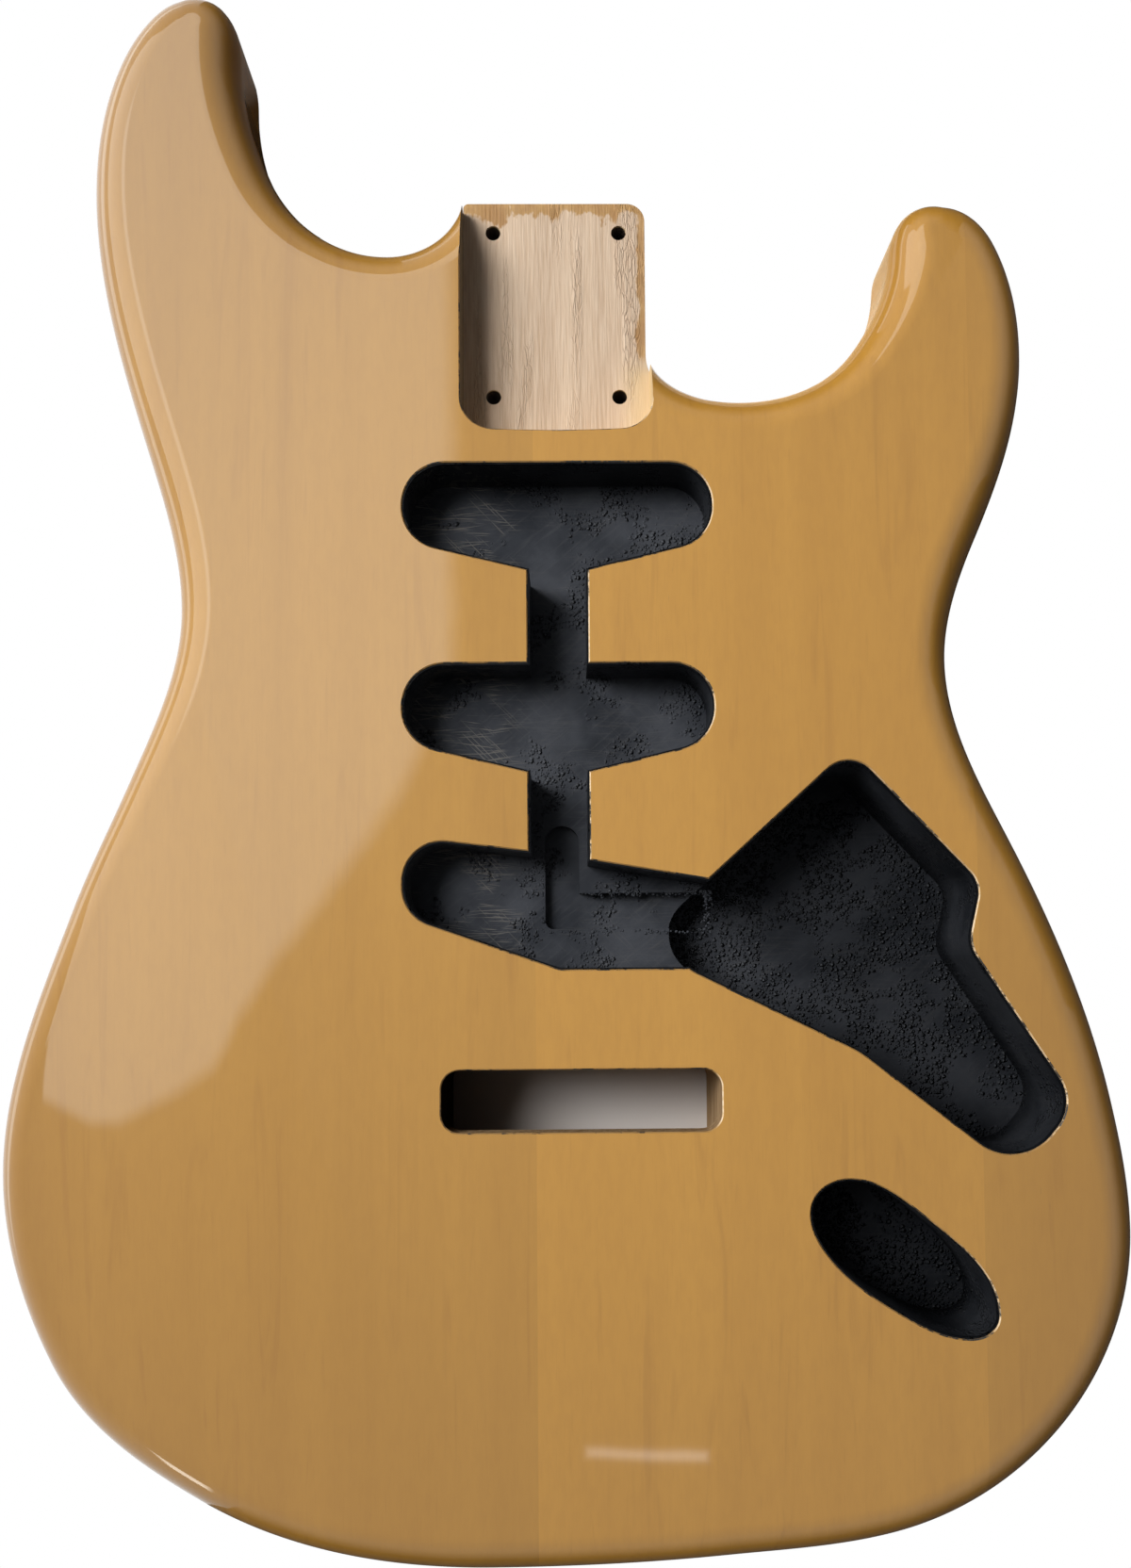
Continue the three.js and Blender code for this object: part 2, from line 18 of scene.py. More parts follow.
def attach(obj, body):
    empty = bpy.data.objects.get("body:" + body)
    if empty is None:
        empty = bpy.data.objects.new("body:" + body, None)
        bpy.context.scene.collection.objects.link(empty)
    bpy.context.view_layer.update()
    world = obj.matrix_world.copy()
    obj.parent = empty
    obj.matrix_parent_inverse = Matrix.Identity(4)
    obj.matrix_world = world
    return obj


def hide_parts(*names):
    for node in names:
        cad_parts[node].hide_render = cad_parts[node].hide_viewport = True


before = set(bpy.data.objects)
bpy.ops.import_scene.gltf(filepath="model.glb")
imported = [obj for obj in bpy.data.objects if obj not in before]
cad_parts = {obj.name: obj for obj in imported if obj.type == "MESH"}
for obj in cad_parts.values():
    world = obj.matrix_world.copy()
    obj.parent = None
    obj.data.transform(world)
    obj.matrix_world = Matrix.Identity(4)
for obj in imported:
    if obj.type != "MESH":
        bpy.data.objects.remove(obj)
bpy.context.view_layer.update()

MM = 0.001

# Body
BODY_WIDTH = 330
BODY_LENGTH = 462
BODY_THICKNESS = 44.5
EDGE_RADIUS = 12
LEAST_SIDE_WALL = 4
FOREARM_DROP = 10
BELLY_RISE = 13
BASS_GLUE_LINE = -7
TREBLE_BOARD_WIDTH = 45.33

# Neck pocket and heel
POCKET_DEPTH = 16
POCKET_WIDTH = 56.2
POCKET_TO_TAIL = 42.2
POCKET_BOW_RADIUS = 300
POCKET_BOW_SHARE = 0.69
POCKET_CORNER_RADIUS = 9.5
HEEL_TO_NECK = 34.5
HEEL_SIDE_TO_TAIL = 12
HEEL_STEP_IN = 1.1
HEEL_CORNER_RADIUS = 5.5
HEEL_BASS_CORNER_RADIUS = 1.6
HEEL_BASS_LIP = 3
HEEL_EDGE_RADIUS = 2.5
NECK_SCREWS_ACROSS = 38.1
NECK_SCREWS_ALONG = 50.8
NECK_SCREW_HOLE = 4.5

# Pickup cavities and the channels between them
PICKUP_DEPTH = 19.5
PICKUP_HALF_WIDTH = 45
PICKUP_END_HEIGHT = 22.9
PICKUP_BELLY_HEIGHT = 31.6
PICKUP_END_RADIUS = 12.5
NECK_PICKUP_TOP = 51.4
PICKUP_PITCH = 58.8
CHANNEL_WIDTH = 17.6
GROOVE_DEPTH = 23.5
GROOVE_WIDTH = 11.2
GROOVE_OFFSET = 0.7
GROOVE_TOP = 154.9
GROOVE_LEG_TOP = 175.1
GROOVE_LEG_HEIGHT = 11.8
GROOVE_CORNER_RADIUS = 3
BRIDGE_PICKUP_TOP = 160.2
BRIDGE_PICKUP_MIDDLE_TOP = 165.7
BRIDGE_PICKUP_TREBLE_TOP = 173.4
BRIDGE_PICKUP_END = 183
BRIDGE_PICKUP_BOTTOM = 198.65
BRIDGE_PICKUP_END_RADIUS = 11.5
BRIDGE_PICKUP_BOTTOM_RADIUS = 8

# Control cavity, jack cavity and the wire passages
CONTROL_DEPTH = 37
JACK_DEPTH = 35
JACK_PASSAGE_BORE = 8
JACK_PASSAGE_ABOVE_FLOOR = 9
GROUND_PASSAGE_BORE = 4
GROUND_PASSAGE_ABOVE_FLOOR = 4.5

# Tremolo slot and spring cavity
SLOT_WIDTH = 80
SLOT_HEIGHT = 17.8
SLOT_OFFSET = 5.9
SLOT_TOP = 227.1
SLOT_CORNER_RADIUS = 5.4
BLOCK_ROUTE_HEIGHT = 28
SLOT_SHELF = 9
SPRING_CAVITY_WIDTH = 56
SPRING_CAVITY_WEB = 3.7
SPRING_CAVITY_LENGTH = 98
SPRING_CAVITY_DEPTH = 16
SPRING_CAVITY_CORNER_RADIUS = 9.5

# Cut edges and the paint in the cavities
RIM = 0.35
PAINT_GAP = 0.05
PAINT_THICKNESS = 0.45
PAINT_BELOW_FRONT = 0.55
PAINT_RAGGED = 0.24
PAINT_RAGGED_PITCH = 1.6
CRUMB_SEED = 7
CRUMB_RADII = (0.2, 0.5)
CRUMB_STRETCH = (0.7, 1.4)
CRUMB_SINK = 0.3

# Fineness
TINY = 0.001
OUTLINE_STEP = 2.2
OUTLINE_TURN = 2.5
CUT_STEP = 0.9
ARC_TURN = 6
EDGE_STEPS = 9
CONTOUR_ROWS = 20
FOLD_SHARE = 0.9
EVENING_REACH = 5
CORNER_SHARE = 0.99
BORE_SIDES = 40
OVERRUN = 5
SHARP_TURN = 28
SKIN_TURN = 30
SKIN_NEIGHBOURS = 3

# Stage and camera, in metres, watts and radians, with the lens and the sensor in millimetres
FLOOR_SIZE = 8
FILL_STRENGTH = 0.07
KEY_PLACE = (-1.8, 0.65, 2.2)
KEY_AIM = (0, -0.2, 0)
KEY_WIDTH = 1.1
KEY_HEIGHT = 1.9
KEY_POWER = 109
GLOW_HEIGHT = 0.816
CARD_WIDTH = 0.25
CARD_HEIGHT = 0.2
LOW_CARD_WIDTH = 0.05
LOW_CARD_HEIGHT = 0.001
CARD_LIFT = 0.0003
CAMERA_PLACE = (0.00163, -0.2019, 0.4089)
CAMERA_TURN = (0.0453, -0.0107, -0.0066)
CAMERA_LENS = 31.6
CAMERA_SENSOR = 36
CAMERA_SHIFT = (-0.00944, 0.0858)

FRONT = POCKET_DEPTH
BACK = POCKET_DEPTH - BODY_THICKNESS
HEEL_BASS_SIDE = -POCKET_WIDTH / 2
HEEL_TREBLE_SIDE = POCKET_WIDTH / 2 - HEEL_STEP_IN
SLOT_BASS_END = SLOT_OFFSET - SLOT_WIDTH / 2
SLOT_TREBLE_END = SLOT_OFFSET + SLOT_WIDTH / 2
GROOVE_BASS_SIDE = GROOVE_OFFSET - GROOVE_WIDTH / 2
GROOVE_TREBLE_SIDE = GROOVE_OFFSET + GROOVE_WIDTH / 2

# Stations of the outline, clockwise as seen from the front: shares of the body's width and length, the
# heading, and the share of the edge radius where it is less than the whole
TREBLE_WAIST_SHARE = -0.234
TREBLE_BOUT_SHARE = 0.501
BASS_HORN_SHARES = [
    (-0.328, 0.2, 0, 0.97),
    (-0.301, 0.1935, -41, 0.95),
    (-0.288, 0.178, -75, 0.95),
    (-0.285, 0.152, -86, 0.97),
    (-0.259, 0.084, -66),
    (-0.152, 0.031, 0),
    (-0.109, 0.041, 37),
]
TREBLE_SIDE_SHARES = [
    (0.158, -0.065, -2),
    (0.266, -0.033, 53),
    (0.3025, 0.029, 85),
    (0.3115, 0.0515, 55, 0.95),
    (0.348, 0.063, 0),
    (0.398, 0.038, -62.5),
    (0.42, -0.039, -91),
    (0.376, -0.155, -113.5),
    (0.347, TREBLE_WAIST_SHARE, -90),
    (0.404, -0.353, -63.7),
    (0.486, -0.513, -78),
    (TREBLE_BOUT_SHARE, -0.595, -90),
    (0.439, -0.714, -130),
    (0.289, -0.781, -166),
    (0.142, -0.794, -175),
]
BASS_SIDE_SHARES = [
    (-0.061, -0.8, 180),
    (-0.318, -0.761, 152),
    (-0.454, -0.679, 119),
    (-0.501, -0.558, 90),
    (-0.435, -0.39, 68),
    (-0.384, -0.311, 65.6),
    (-0.337, -0.201, 90),
    (-0.369, -0.093, 107.3),
    (-0.416, 0.074, 90),
    (-0.392, 0.16, 65),
    (-0.369, 0.185, 48),
]

# Each contour's inner line: its start, its middle and its end
FOREARM_LINE_SHARES = [(-0.061, -0.8), (-0.218, -0.5), (-0.344, -0.237)]
BELLY_LINE_SHARES = [(-0.458, -0.45), (-0.136, -0.2), (-0.415, 0.04)]

# Cavities, as shares of the body's width and length from the bass end of the control cavity and the tail side
# of the bridge pickup cavity. The last share of a corner is of the pickup end radius.
CONTROL_CORNER_SHARES = [
    (0.158, 0.137, 0.72),
    (0.271, 0.052, 0.72),
    (0.259, 0.014, 0.8),
    (0.35, -0.085, 0.96),
    (0.299, -0.128, 1.2),
    (0.163, -0.052, 2.4),
    (-0.029, 0.015, 1.04),
]
CONTROL_JOIN_SHARE = 0.042
JACK_SHARES = [
    (0.118, -0.151, 90),
    (0.152, -0.13, 0),
    (0.216, -0.153, -39),
    (0.279, -0.214, -90),
    (0.255, -0.228, 180),
    (0.184, -0.208, 148),
    (0.135, -0.179, 129),
]
JACK_PASSAGE_SHARES = [(0.205, -0.055), (0.166, -0.147)]
GROUND_PASSAGE_SHARE = 0.018

# The places of the body's materials in the slots of its boards
BOARD_SLOTS = 4
LACQUER, RAW, ROUTED, CUT_RIM = range(BOARD_SLOTS)

Station = namedtuple("Station", "place heading_in heading_out front_edge back_edge")
Contour = namedtuple("Contour", "first last middle way drop tilt lean")


def unit(values):
    return values / np.abs(values)


def heading_vector(heading):
    return cmath.rect(1, math.radians(heading))


def turn_between(first, second):
    return abs(cmath.phase(second / first))


def place_from_shares(across, along):
    return complex(across * BODY_WIDTH, along * BODY_LENGTH)


def station_from_shares(across, along, heading, edge_share=1):
    edge = edge_share * EDGE_RADIUS
    return Station(place_from_shares(across, along), heading, heading, edge, edge)


def cavity_place(across, along):
    """A point of the electronics cavities, measured from the bass end of the control cavity."""
    bass_end = SPRING_CAVITY_WIDTH / 2 + SPRING_CAVITY_WEB
    return complex(bass_end + across * BODY_WIDTH, along * BODY_LENGTH - BRIDGE_PICKUP_BOTTOM)


def triple(place, value):
    """The two coordinates of a place, and a height or a radius."""
    return place.real, place.imag, value


def bezier(a, b, c, d, share):
    rest = 1 - share
    return rest**3 * a + 3 * rest**2 * share * b + 3 * rest * share**2 * c + share**3 * d


def sample_stations(stations, longest):
    """Points of a closed curve that runs smoothly from station to station, with their edge radii."""
    places, front_edges, back_edges = [], [], []
    for start, end in zip(stations, stations[1:] + stations[:1]):
        leave = heading_vector(start.heading_out)
        arrive = heading_vector(end.heading_in)
        chord = end.place - start.place
        turn = turn_between(leave, arrive)
        bend = turn_between(leave, chord) + turn_between(chord, arrive)
        handle = abs(chord) / (3 * math.cos(turn / 4) ** 2)
        steps = max(math.ceil(abs(chord) / longest), math.ceil(bend / math.radians(OUTLINE_TURN)))
        share = np.arange(steps) / steps
        blend = share**2 * (3 - 2 * share)
        first_handle = start.place + handle * leave
        last_handle = end.place - handle * arrive
        places.append(bezier(start.place, first_handle, last_handle, end.place, share))
        front_edges.append(start.front_edge + (end.front_edge - start.front_edge) * blend)
        back_edges.append(start.back_edge + (end.back_edge - start.back_edge) * blend)
    return np.concatenate(places), np.concatenate(front_edges), np.concatenate(back_edges)


def inward_steps(points):
    """The step from each point of a clockwise outline that moves both its edges inwards by one unit."""
    before = unit(points - np.roll(points, 1))
    after = unit(np.roll(points, -1) - points)
    middle = unit(before + after)
    return -1j * middle / (middle.conj() * after).real


def inset_limits(points):
    """How far each point may move inwards: a share of the largest circle that fits inside there."""
    before = points - np.roll(points, 1)
    after = np.roll(points, -1) - points
    tangent = unit(before) * np.abs(after) + unit(after) * np.abs(before)
    inward = -1j * unit(tangent)
    reach = points[None, :] - points[:, None]
    depth = (reach * inward.conj()[:, None]).real
    radii = np.where(depth > TINY, np.abs(reach) ** 2 / (2 * np.maximum(depth, TINY)), np.inf)
    return FOLD_SHARE * radii.min(axis=1)


def evened(values, points):
    """Values along a closed outline with their dips widened and smoothed."""
    steps = np.abs(np.roll(points, -1) - points)
    way = np.cumsum(steps) - steps
    apart = np.abs(way[None, :] - way[:, None])
    near = np.minimum(apart, steps.sum() - apart) < EVENING_REACH
    lowest = np.where(near, values[None, :], np.inf).min(axis=1)
    return (near * lowest[None, :]).sum(axis=1) / near.sum(axis=1)


def inset_points(points, inset):
    return points + inset * inward_steps(points)


def arc_points(place, before, turn, radius):
    start = place - before * radius * math.tan(abs(turn) / 2)
    centre = start + 1j * before * math.copysign(radius, turn)
    steps = max(2, math.ceil(math.degrees(abs(turn)) / ARC_TURN))
    return [centre + (start - centre) * cmath.exp(1j * turn * step / steps) for step in range(steps + 1)]


def rounded_outline(corners, inset=0):
    """A clockwise polygon moved inwards by an inset, its corners rounded as far as its edges have room.
    A corner is its two coordinates and its radius."""
    places = inset_points(np.array([complex(x, y) for x, y, _ in corners]), inset)
    before = places - np.roll(places, 1)
    after = np.roll(before, -1)
    turns = np.angle(after / before)
    radii = np.array([radius for _, _, radius in corners], dtype=float)
    radii = np.where(radii > 0, np.maximum(0, radii + np.sign(turns) * inset), 0)
    tangents = radii * np.tan(np.abs(turns) / 2)
    wanted = np.maximum(tangents + np.roll(tangents, -1), TINY)
    room = np.minimum(1, CORNER_SHARE * np.abs(after) / wanted)
    radii = radii * np.minimum(room, np.roll(room, 1))
    outline = []
    for place, way_in, turn, radius in zip(places, unit(before), turns, radii):
        outline += arc_points(place, way_in, turn, radius) if radius > 0 else [place]
    return np.array(outline)


def rectangle(left, right, top, bottom, radius, inset=0):
    ends = (left, top), (right, top), (right, bottom), (left, bottom)
    return rounded_outline([(*end, radius) for end in ends], inset)


def outline_stations():
    """The outline of the blank, whose heel runs on past its end until it is trimmed."""
    blank_end = HEEL_TO_NECK + EDGE_RADIUS + OVERRUN
    edges = EDGE_RADIUS, HEEL_EDGE_RADIUS
    return [
        *(station_from_shares(*shares) for shares in BASS_HORN_SHARES),
        Station(complex(HEEL_BASS_SIDE, HEEL_TO_NECK - HEEL_BASS_LIP), 80, 90, *edges),
        Station(complex(HEEL_BASS_SIDE, blank_end), 90, 0, *edges),
        Station(complex(HEEL_TREBLE_SIDE, blank_end), 0, -90, *edges),
        Station(complex(HEEL_TREBLE_SIDE, -HEEL_SIDE_TO_TAIL), -90, -90, *edges),
        *(station_from_shares(*shares) for shares in TREBLE_SIDE_SHARES),
        *(station_from_shares(*shares) for shares in BASS_SIDE_SHARES),
    ]


def quadratic(start, middle, end, share):
    return (1 - share) ** 2 * start + 2 * share * (1 - share) * middle + share**2 * end


def contour_along(places, line_shares, depth):
    """How deep and how steep a contour makes the edge along the outline."""
    start, middle, end = (place_from_shares(*shares) for shares in line_shares)
    first = int(np.argmin(np.abs(places - start)))
    last = int(np.argmin(np.abs(places - end)))
    lengths = np.abs(np.diff(places[first:last + 1]))
    way = np.zeros(len(places))
    way[first + 1:last] = np.cumsum(lengths)[:-1] / lengths.sum()
    drop = depth * np.sin(np.pi * way) ** 2
    across = places - quadratic(places[first], middle, places[last], way)
    reach = np.maximum(np.abs(across), TINY)
    tilt = np.arctan2(2 * drop, reach)
    return Contour(first, last, middle, way, drop, tilt, across / reach)


def body_mesh():
    """The body before any cut: rounded edges round the outline, and the two contours. Its third result is
    the normals of the rounded edges, whose points come first."""
    places, front_edges, back_edges = sample_stations(outline_stations(), OUTLINE_STEP)
    forearm = contour_along(places, FOREARM_LINE_SHARES, FOREARM_DROP)
    belly = contour_along(places, BELLY_LINE_SHARES, BELLY_RISE)
    inward = inward_steps(places)
    room = (BODY_THICKNESS - forearm.drop - belly.drop - LEAST_SIDE_WALL) / 2
    widest = np.minimum(room, evened(inset_limits(places), places))
    count = len(places)
    points = []
    faces = []
    normals = []
    outward = -unit(inward)

    def edge_ring(contour, edges, face, up, share):
        radius = np.minimum(edges, widest)
        angle = contour.tilt + (math.pi / 2 - contour.tilt) * share
        ring = places + inward * radius * (1 - np.sin(angle))
        depth = contour.drop + radius * (np.cos(contour.tilt) - np.cos(angle))
        points.extend(zip(ring.real, ring.imag, face - up * depth))
        leaning = np.sin(contour.tilt) * (1 - share)
        flat = outward * (np.sin(angle) - leaning) + contour.lean * leaning
        normals.extend(Vector(normal) for normal in zip(flat.real, flat.imag, up * np.cos(angle)))

    def close_face(ring_start, face, up, contour):
        ends = [complex(*points[ring_start + index][:2]) for index in (contour.first, contour.last)]
        rows = []
        for row in range(CONTOUR_ROWS):
            share = row / CONTOUR_ROWS
            indices = [ring_start + contour.first]
            for index in range(contour.first + 1, contour.last):
                inner = quadratic(ends[0], contour.middle, ends[1], contour.way[index])
                edge = complex(*points[ring_start + index][:2])
                place = inner + (edge - inner) * share
                indices.append(len(points))
                points.append(triple(place, face - up * contour.drop[index] * share**2))
            indices.append(ring_start + contour.last)
            rows.append(indices)
        rows.append([ring_start + index for index in range(contour.first, contour.last + 1)])
        for inner, outer in zip(rows, rows[1:]):
            for step in range(len(inner) - 1):
                ring = [inner[step], outer[step], outer[step + 1], inner[step + 1]]
                faces.append(list(dict.fromkeys(ring)))
        before = [ring_start + index for index in range(contour.first)]
        after = [ring_start + index for index in range(contour.last + 1, count)]
        faces.append(before + rows[0] + after)

    for step in range(EDGE_STEPS + 1):
        edge_ring(belly, back_edges, BACK, -1, step / EDGE_STEPS)
    for step in reversed(range(EDGE_STEPS + 1)):
        edge_ring(forearm, front_edges, FRONT, 1, step / EDGE_STEPS)
    rings = 2 * (EDGE_STEPS + 1)
    faces += wall_faces(rings, count)
    close_face(0, BACK, -1, belly)
    close_face((rings - 1) * count, FRONT, 1, forearm)
    return points, faces, normals


def wall_faces(rings, count):
    """The faces between closed rings, which all have the same count of points."""
    faces = []
    for lower in range(0, (rings - 1) * count, count):
        upper = lower + count
        for index in range(count):
            following = (index + 1) % count
            faces.append([lower + index, upper + index, upper + following, lower + following])
    return faces


def placed(name, data):
    """A new object in the scene."""
    piece = bpy.data.objects.new(name, data)
    bpy.context.collection.objects.link(piece)
    return piece


def mesh_object(name, points, faces, slot=LACQUER):
    """A closed mesh in metres, made of points in millimetres."""
    mesh = bpy.data.meshes.new(name)
    mesh.from_pydata([(x * MM, y * MM, z * MM) for x, y, z in points], [], faces)
    for _ in range(BOARD_SLOTS):
        mesh.materials.append(None)
    bm = bmesh.new()
    bm.from_mesh(mesh)
    bmesh.ops.recalc_face_normals(bm, faces=bm.faces)
    for face in bm.faces:
        face.material_index = slot
    bm.to_mesh(mesh)
    bm.free()
    return placed(name, mesh)


def lofted(levels, slot, rim_slot=None):
    """A solid through outlines of equal length at rising heights. Its top band can have its own material."""
    counts = np.maximum(1, np.ceil(np.abs(np.roll(levels[0][0], -1) - levels[0][0]) / CUT_STEP)).astype(int)
    points = []
    for outline, height in levels:
        following = np.roll(outline, -1)
        for start, end, steps in zip(outline, following, counts):
            for step in range(steps):
                place = start + (end - start) * step / steps
                points.append(triple(place, height))
    count = int(counts.sum())
    ends = [list(range(count)), list(range(len(points) - count, len(points)))]
    solid = mesh_object("cutter", points, ends + wall_faces(len(levels), count), slot)
    if rim_slot is not None:
        for polygon in solid.data.polygons:
            if polygon.center.z > (levels[-2][1] + TINY) * MM:
                polygon.material_index = rim_slot
    return solid


def rimmed(outline_at, bottom, slot):
    """A cut from the front with a small bevel at its rim."""
    outline = outline_at(0)
    opened = outline_at(-RIM - OVERRUN)
    return lofted([(outline, bottom), (outline, FRONT - RIM), (opened, FRONT + OVERRUN)], slot, CUT_RIM)


def straight(outline, bottom, top, slot=ROUTED):
    return lofted([(outline, bottom), (outline, top)], slot)


def bore(start, end, diameter, slot=ROUTED):
    """A round cut between two points."""
    axis = Vector(end) - Vector(start)
    turn = axis.to_track_quat("Z", "Y")
    points = []
    for length in (0, axis.length):
        for side in range(BORE_SIDES):
            angle = 2 * math.pi * side / BORE_SIDES
            ring = Vector((math.cos(angle), math.sin(angle), 0)) * diameter / 2
            points.append(Vector(start) + turn @ (ring + Vector((0, 0, length))))
    ends = [list(range(BORE_SIDES)), list(range(BORE_SIDES, 2 * BORE_SIDES))]
    return mesh_object("cutter", points, ends + wall_faces(2, BORE_SIDES), slot)


def combine(base, other, operation):
    """Joins, cuts or trims one solid by another, which is used up."""
    modifier = base.modifiers.new("combine", "BOOLEAN")
    modifier.operation = operation
    modifier.solver = "MANIFOLD"
    modifier.object = other
    modifier.material_mode = "INDEX"
    graph = bpy.context.evaluated_depsgraph_get()
    base.data = bpy.data.meshes.new_from_object(base.evaluated_get(graph))
    base.modifiers.clear()
    bpy.data.objects.remove(other)


def heel_trim():
    outside = POCKET_WIDTH / 2 + OVERRUN
    beyond = HEEL_TO_NECK + EDGE_RADIUS + 2 * OVERRUN
    treble_start = HEEL_TO_NECK - 2 * HEEL_CORNER_RADIUS
    bass_start = HEEL_TO_NECK - HEEL_BASS_LIP
    outline = rounded_outline([
        (-outside, beyond, 0),
        (outside, beyond, 0),
        (outside, treble_start, 0),
        (HEEL_TREBLE_SIDE, treble_start, 0),
        (HEEL_TREBLE_SIDE, HEEL_TO_NECK, HEEL_CORNER_RADIUS),
        (HEEL_BASS_SIDE, HEEL_TO_NECK, HEEL_BASS_CORNER_RADIUS),
        (HEEL_BASS_SIDE, bass_start, 0),
        (-outside, bass_start, 0),
    ])
    return straight(outline, BACK - OVERRUN, FRONT + OVERRUN, LACQUER)


def pocket_outline(inset):
    side = POCKET_WIDTH / 2
    bow = POCKET_BOW_SHARE * side * (side - POCKET_CORNER_RADIUS) / POCKET_BOW_RADIUS
    return rounded_outline([
        (-side, HEEL_TO_NECK + OVERRUN, 0),
        (side, HEEL_TO_NECK + OVERRUN, 0),
        (side, bow - POCKET_TO_TAIL, POCKET_CORNER_RADIUS),
        (0, -POCKET_TO_TAIL, POCKET_BOW_RADIUS),
        (-side, bow - POCKET_TO_TAIL, POCKET_CORNER_RADIUS),
    ], inset)


def neck_screw_holes():
    for x in (-NECK_SCREWS_ACROSS / 2, NECK_SCREWS_ACROSS / 2):
        for y in (-NECK_SCREWS_ALONG / 2, NECK_SCREWS_ALONG / 2):
            yield bore((x, y, BACK - OVERRUN), (x, y, OVERRUN), NECK_SCREW_HOLE, RAW)


def pickup_outline(top, inset):
    end, belly, side = top + PICKUP_END_HEIGHT, top + PICKUP_BELLY_HEIGHT, CHANNEL_WIDTH / 2
    return rounded_outline([
        (-PICKUP_HALF_WIDTH, -top, PICKUP_END_RADIUS),
        (PICKUP_HALF_WIDTH, -top, PICKUP_END_RADIUS),
        (PICKUP_HALF_WIDTH, -end, PICKUP_END_RADIUS),
        (side, -belly, 0),
        (-side, -belly, 0),
        (-PICKUP_HALF_WIDTH, -end, PICKUP_END_RADIUS),
    ], inset)


def bridge_pickup_outline(inset):
    join = cavity_place(CONTROL_JOIN_SHARE, 0).real
    return rounded_outline([
        (-PICKUP_HALF_WIDTH, -BRIDGE_PICKUP_TOP, BRIDGE_PICKUP_END_RADIUS),
        (0, -BRIDGE_PICKUP_MIDDLE_TOP, 0),
        (join, -BRIDGE_PICKUP_TREBLE_TOP, 0),
        (join, -BRIDGE_PICKUP_BOTTOM, 0),
        (0, -BRIDGE_PICKUP_BOTTOM, BRIDGE_PICKUP_BOTTOM_RADIUS),
        (-PICKUP_HALF_WIDTH, -BRIDGE_PICKUP_END, BRIDGE_PICKUP_END_RADIUS),
    ], inset)


def channel_outline(inset):
    side = CHANNEL_WIDTH / 2
    return rectangle(-side, side, -NECK_PICKUP_TOP - PICKUP_END_HEIGHT, -BRIDGE_PICKUP_END, 0, inset)


def groove_outline(inset):
    """The leg of the wire groove that points to the neck."""
    bottom = GROOVE_LEG_TOP + GROOVE_LEG_HEIGHT
    return rounded_outline([
        (GROOVE_BASS_SIDE, -GROOVE_TOP, GROOVE_WIDTH / 2),
        (GROOVE_TREBLE_SIDE, -GROOVE_TOP, GROOVE_WIDTH / 2),
        (GROOVE_TREBLE_SIDE, -bottom, 0),
        (GROOVE_BASS_SIDE, -bottom, GROOVE_CORNER_RADIUS),
    ], inset)


def groove_leg_outline(inset):
    """The leg of the wire groove that runs on into the control cavity."""
    join = cavity_place(CONTROL_JOIN_SHARE, 0).real
    return rectangle(GROOVE_OFFSET, join, -GROOVE_LEG_TOP, -GROOVE_LEG_TOP - GROOVE_LEG_HEIGHT, 0, inset)


def control_outline(inset):
    return rounded_outline([
        triple(cavity_place(across, along), radius_share * PICKUP_END_RADIUS)
        for across, along, radius_share in CONTROL_CORNER_SHARES
    ], inset)


def jack_outline(inset):
    stations = [Station(cavity_place(x, y), heading, heading, 0, 0) for x, y, heading in JACK_SHARES]
    return inset_points(sample_stations(stations, CUT_STEP)[0], inset)


def electronics_cuts():
    """Each electronics cavity's outline and depth."""
    return [
        (lambda inset: pickup_outline(NECK_PICKUP_TOP, inset), PICKUP_DEPTH),
        (lambda inset: pickup_outline(NECK_PICKUP_TOP + PICKUP_PITCH, inset), PICKUP_DEPTH),
        (bridge_pickup_outline, PICKUP_DEPTH),
        (channel_outline, PICKUP_DEPTH),
        (groove_outline, GROOVE_DEPTH),
        (groove_leg_outline, GROOVE_DEPTH),
        (control_outline, CONTROL_DEPTH),
    ]


def wire_passages():
    jack_height = FRONT - CONTROL_DEPTH + JACK_PASSAGE_ABOVE_FLOOR
    ends = [triple(cavity_place(*shares), jack_height) for shares in JACK_PASSAGE_SHARES]
    yield bore(*ends, JACK_PASSAGE_BORE)
    ground = cavity_place(CONTROL_JOIN_SHARE, GROUND_PASSAGE_SHARE)
    height = FRONT - CONTROL_DEPTH + GROUND_PASSAGE_ABOVE_FLOOR
    start = (SPRING_CAVITY_WIDTH / 2 - OVERRUN, ground.imag, height)
    yield bore(start, triple(ground, height), GROUND_PASSAGE_BORE)


def tremolo_cuts():
    ends = SLOT_BASS_END, SLOT_TREBLE_END
    bottom = -SLOT_TOP - SLOT_HEIGHT
    block = rectangle(*ends, -SLOT_TOP, -SLOT_TOP - BLOCK_ROUTE_HEIGHT, SLOT_CORNER_RADIUS)
    side = SPRING_CAVITY_WIDTH / 2
    springs = rectangle(-side, side, SPRING_CAVITY_LENGTH - SLOT_TOP, bottom, SPRING_CAVITY_CORNER_RADIUS)

    def slot_outline(inset):
        return rectangle(*ends, -SLOT_TOP, bottom, SLOT_CORNER_RADIUS, inset)

    yield rimmed(slot_outline, BACK - OVERRUN, ROUTED)
    yield straight(block, BACK - OVERRUN, FRONT - SLOT_SHELF)
    yield straight(springs, BACK - OVERRUN, BACK + SPRING_CAVITY_DEPTH, RAW)


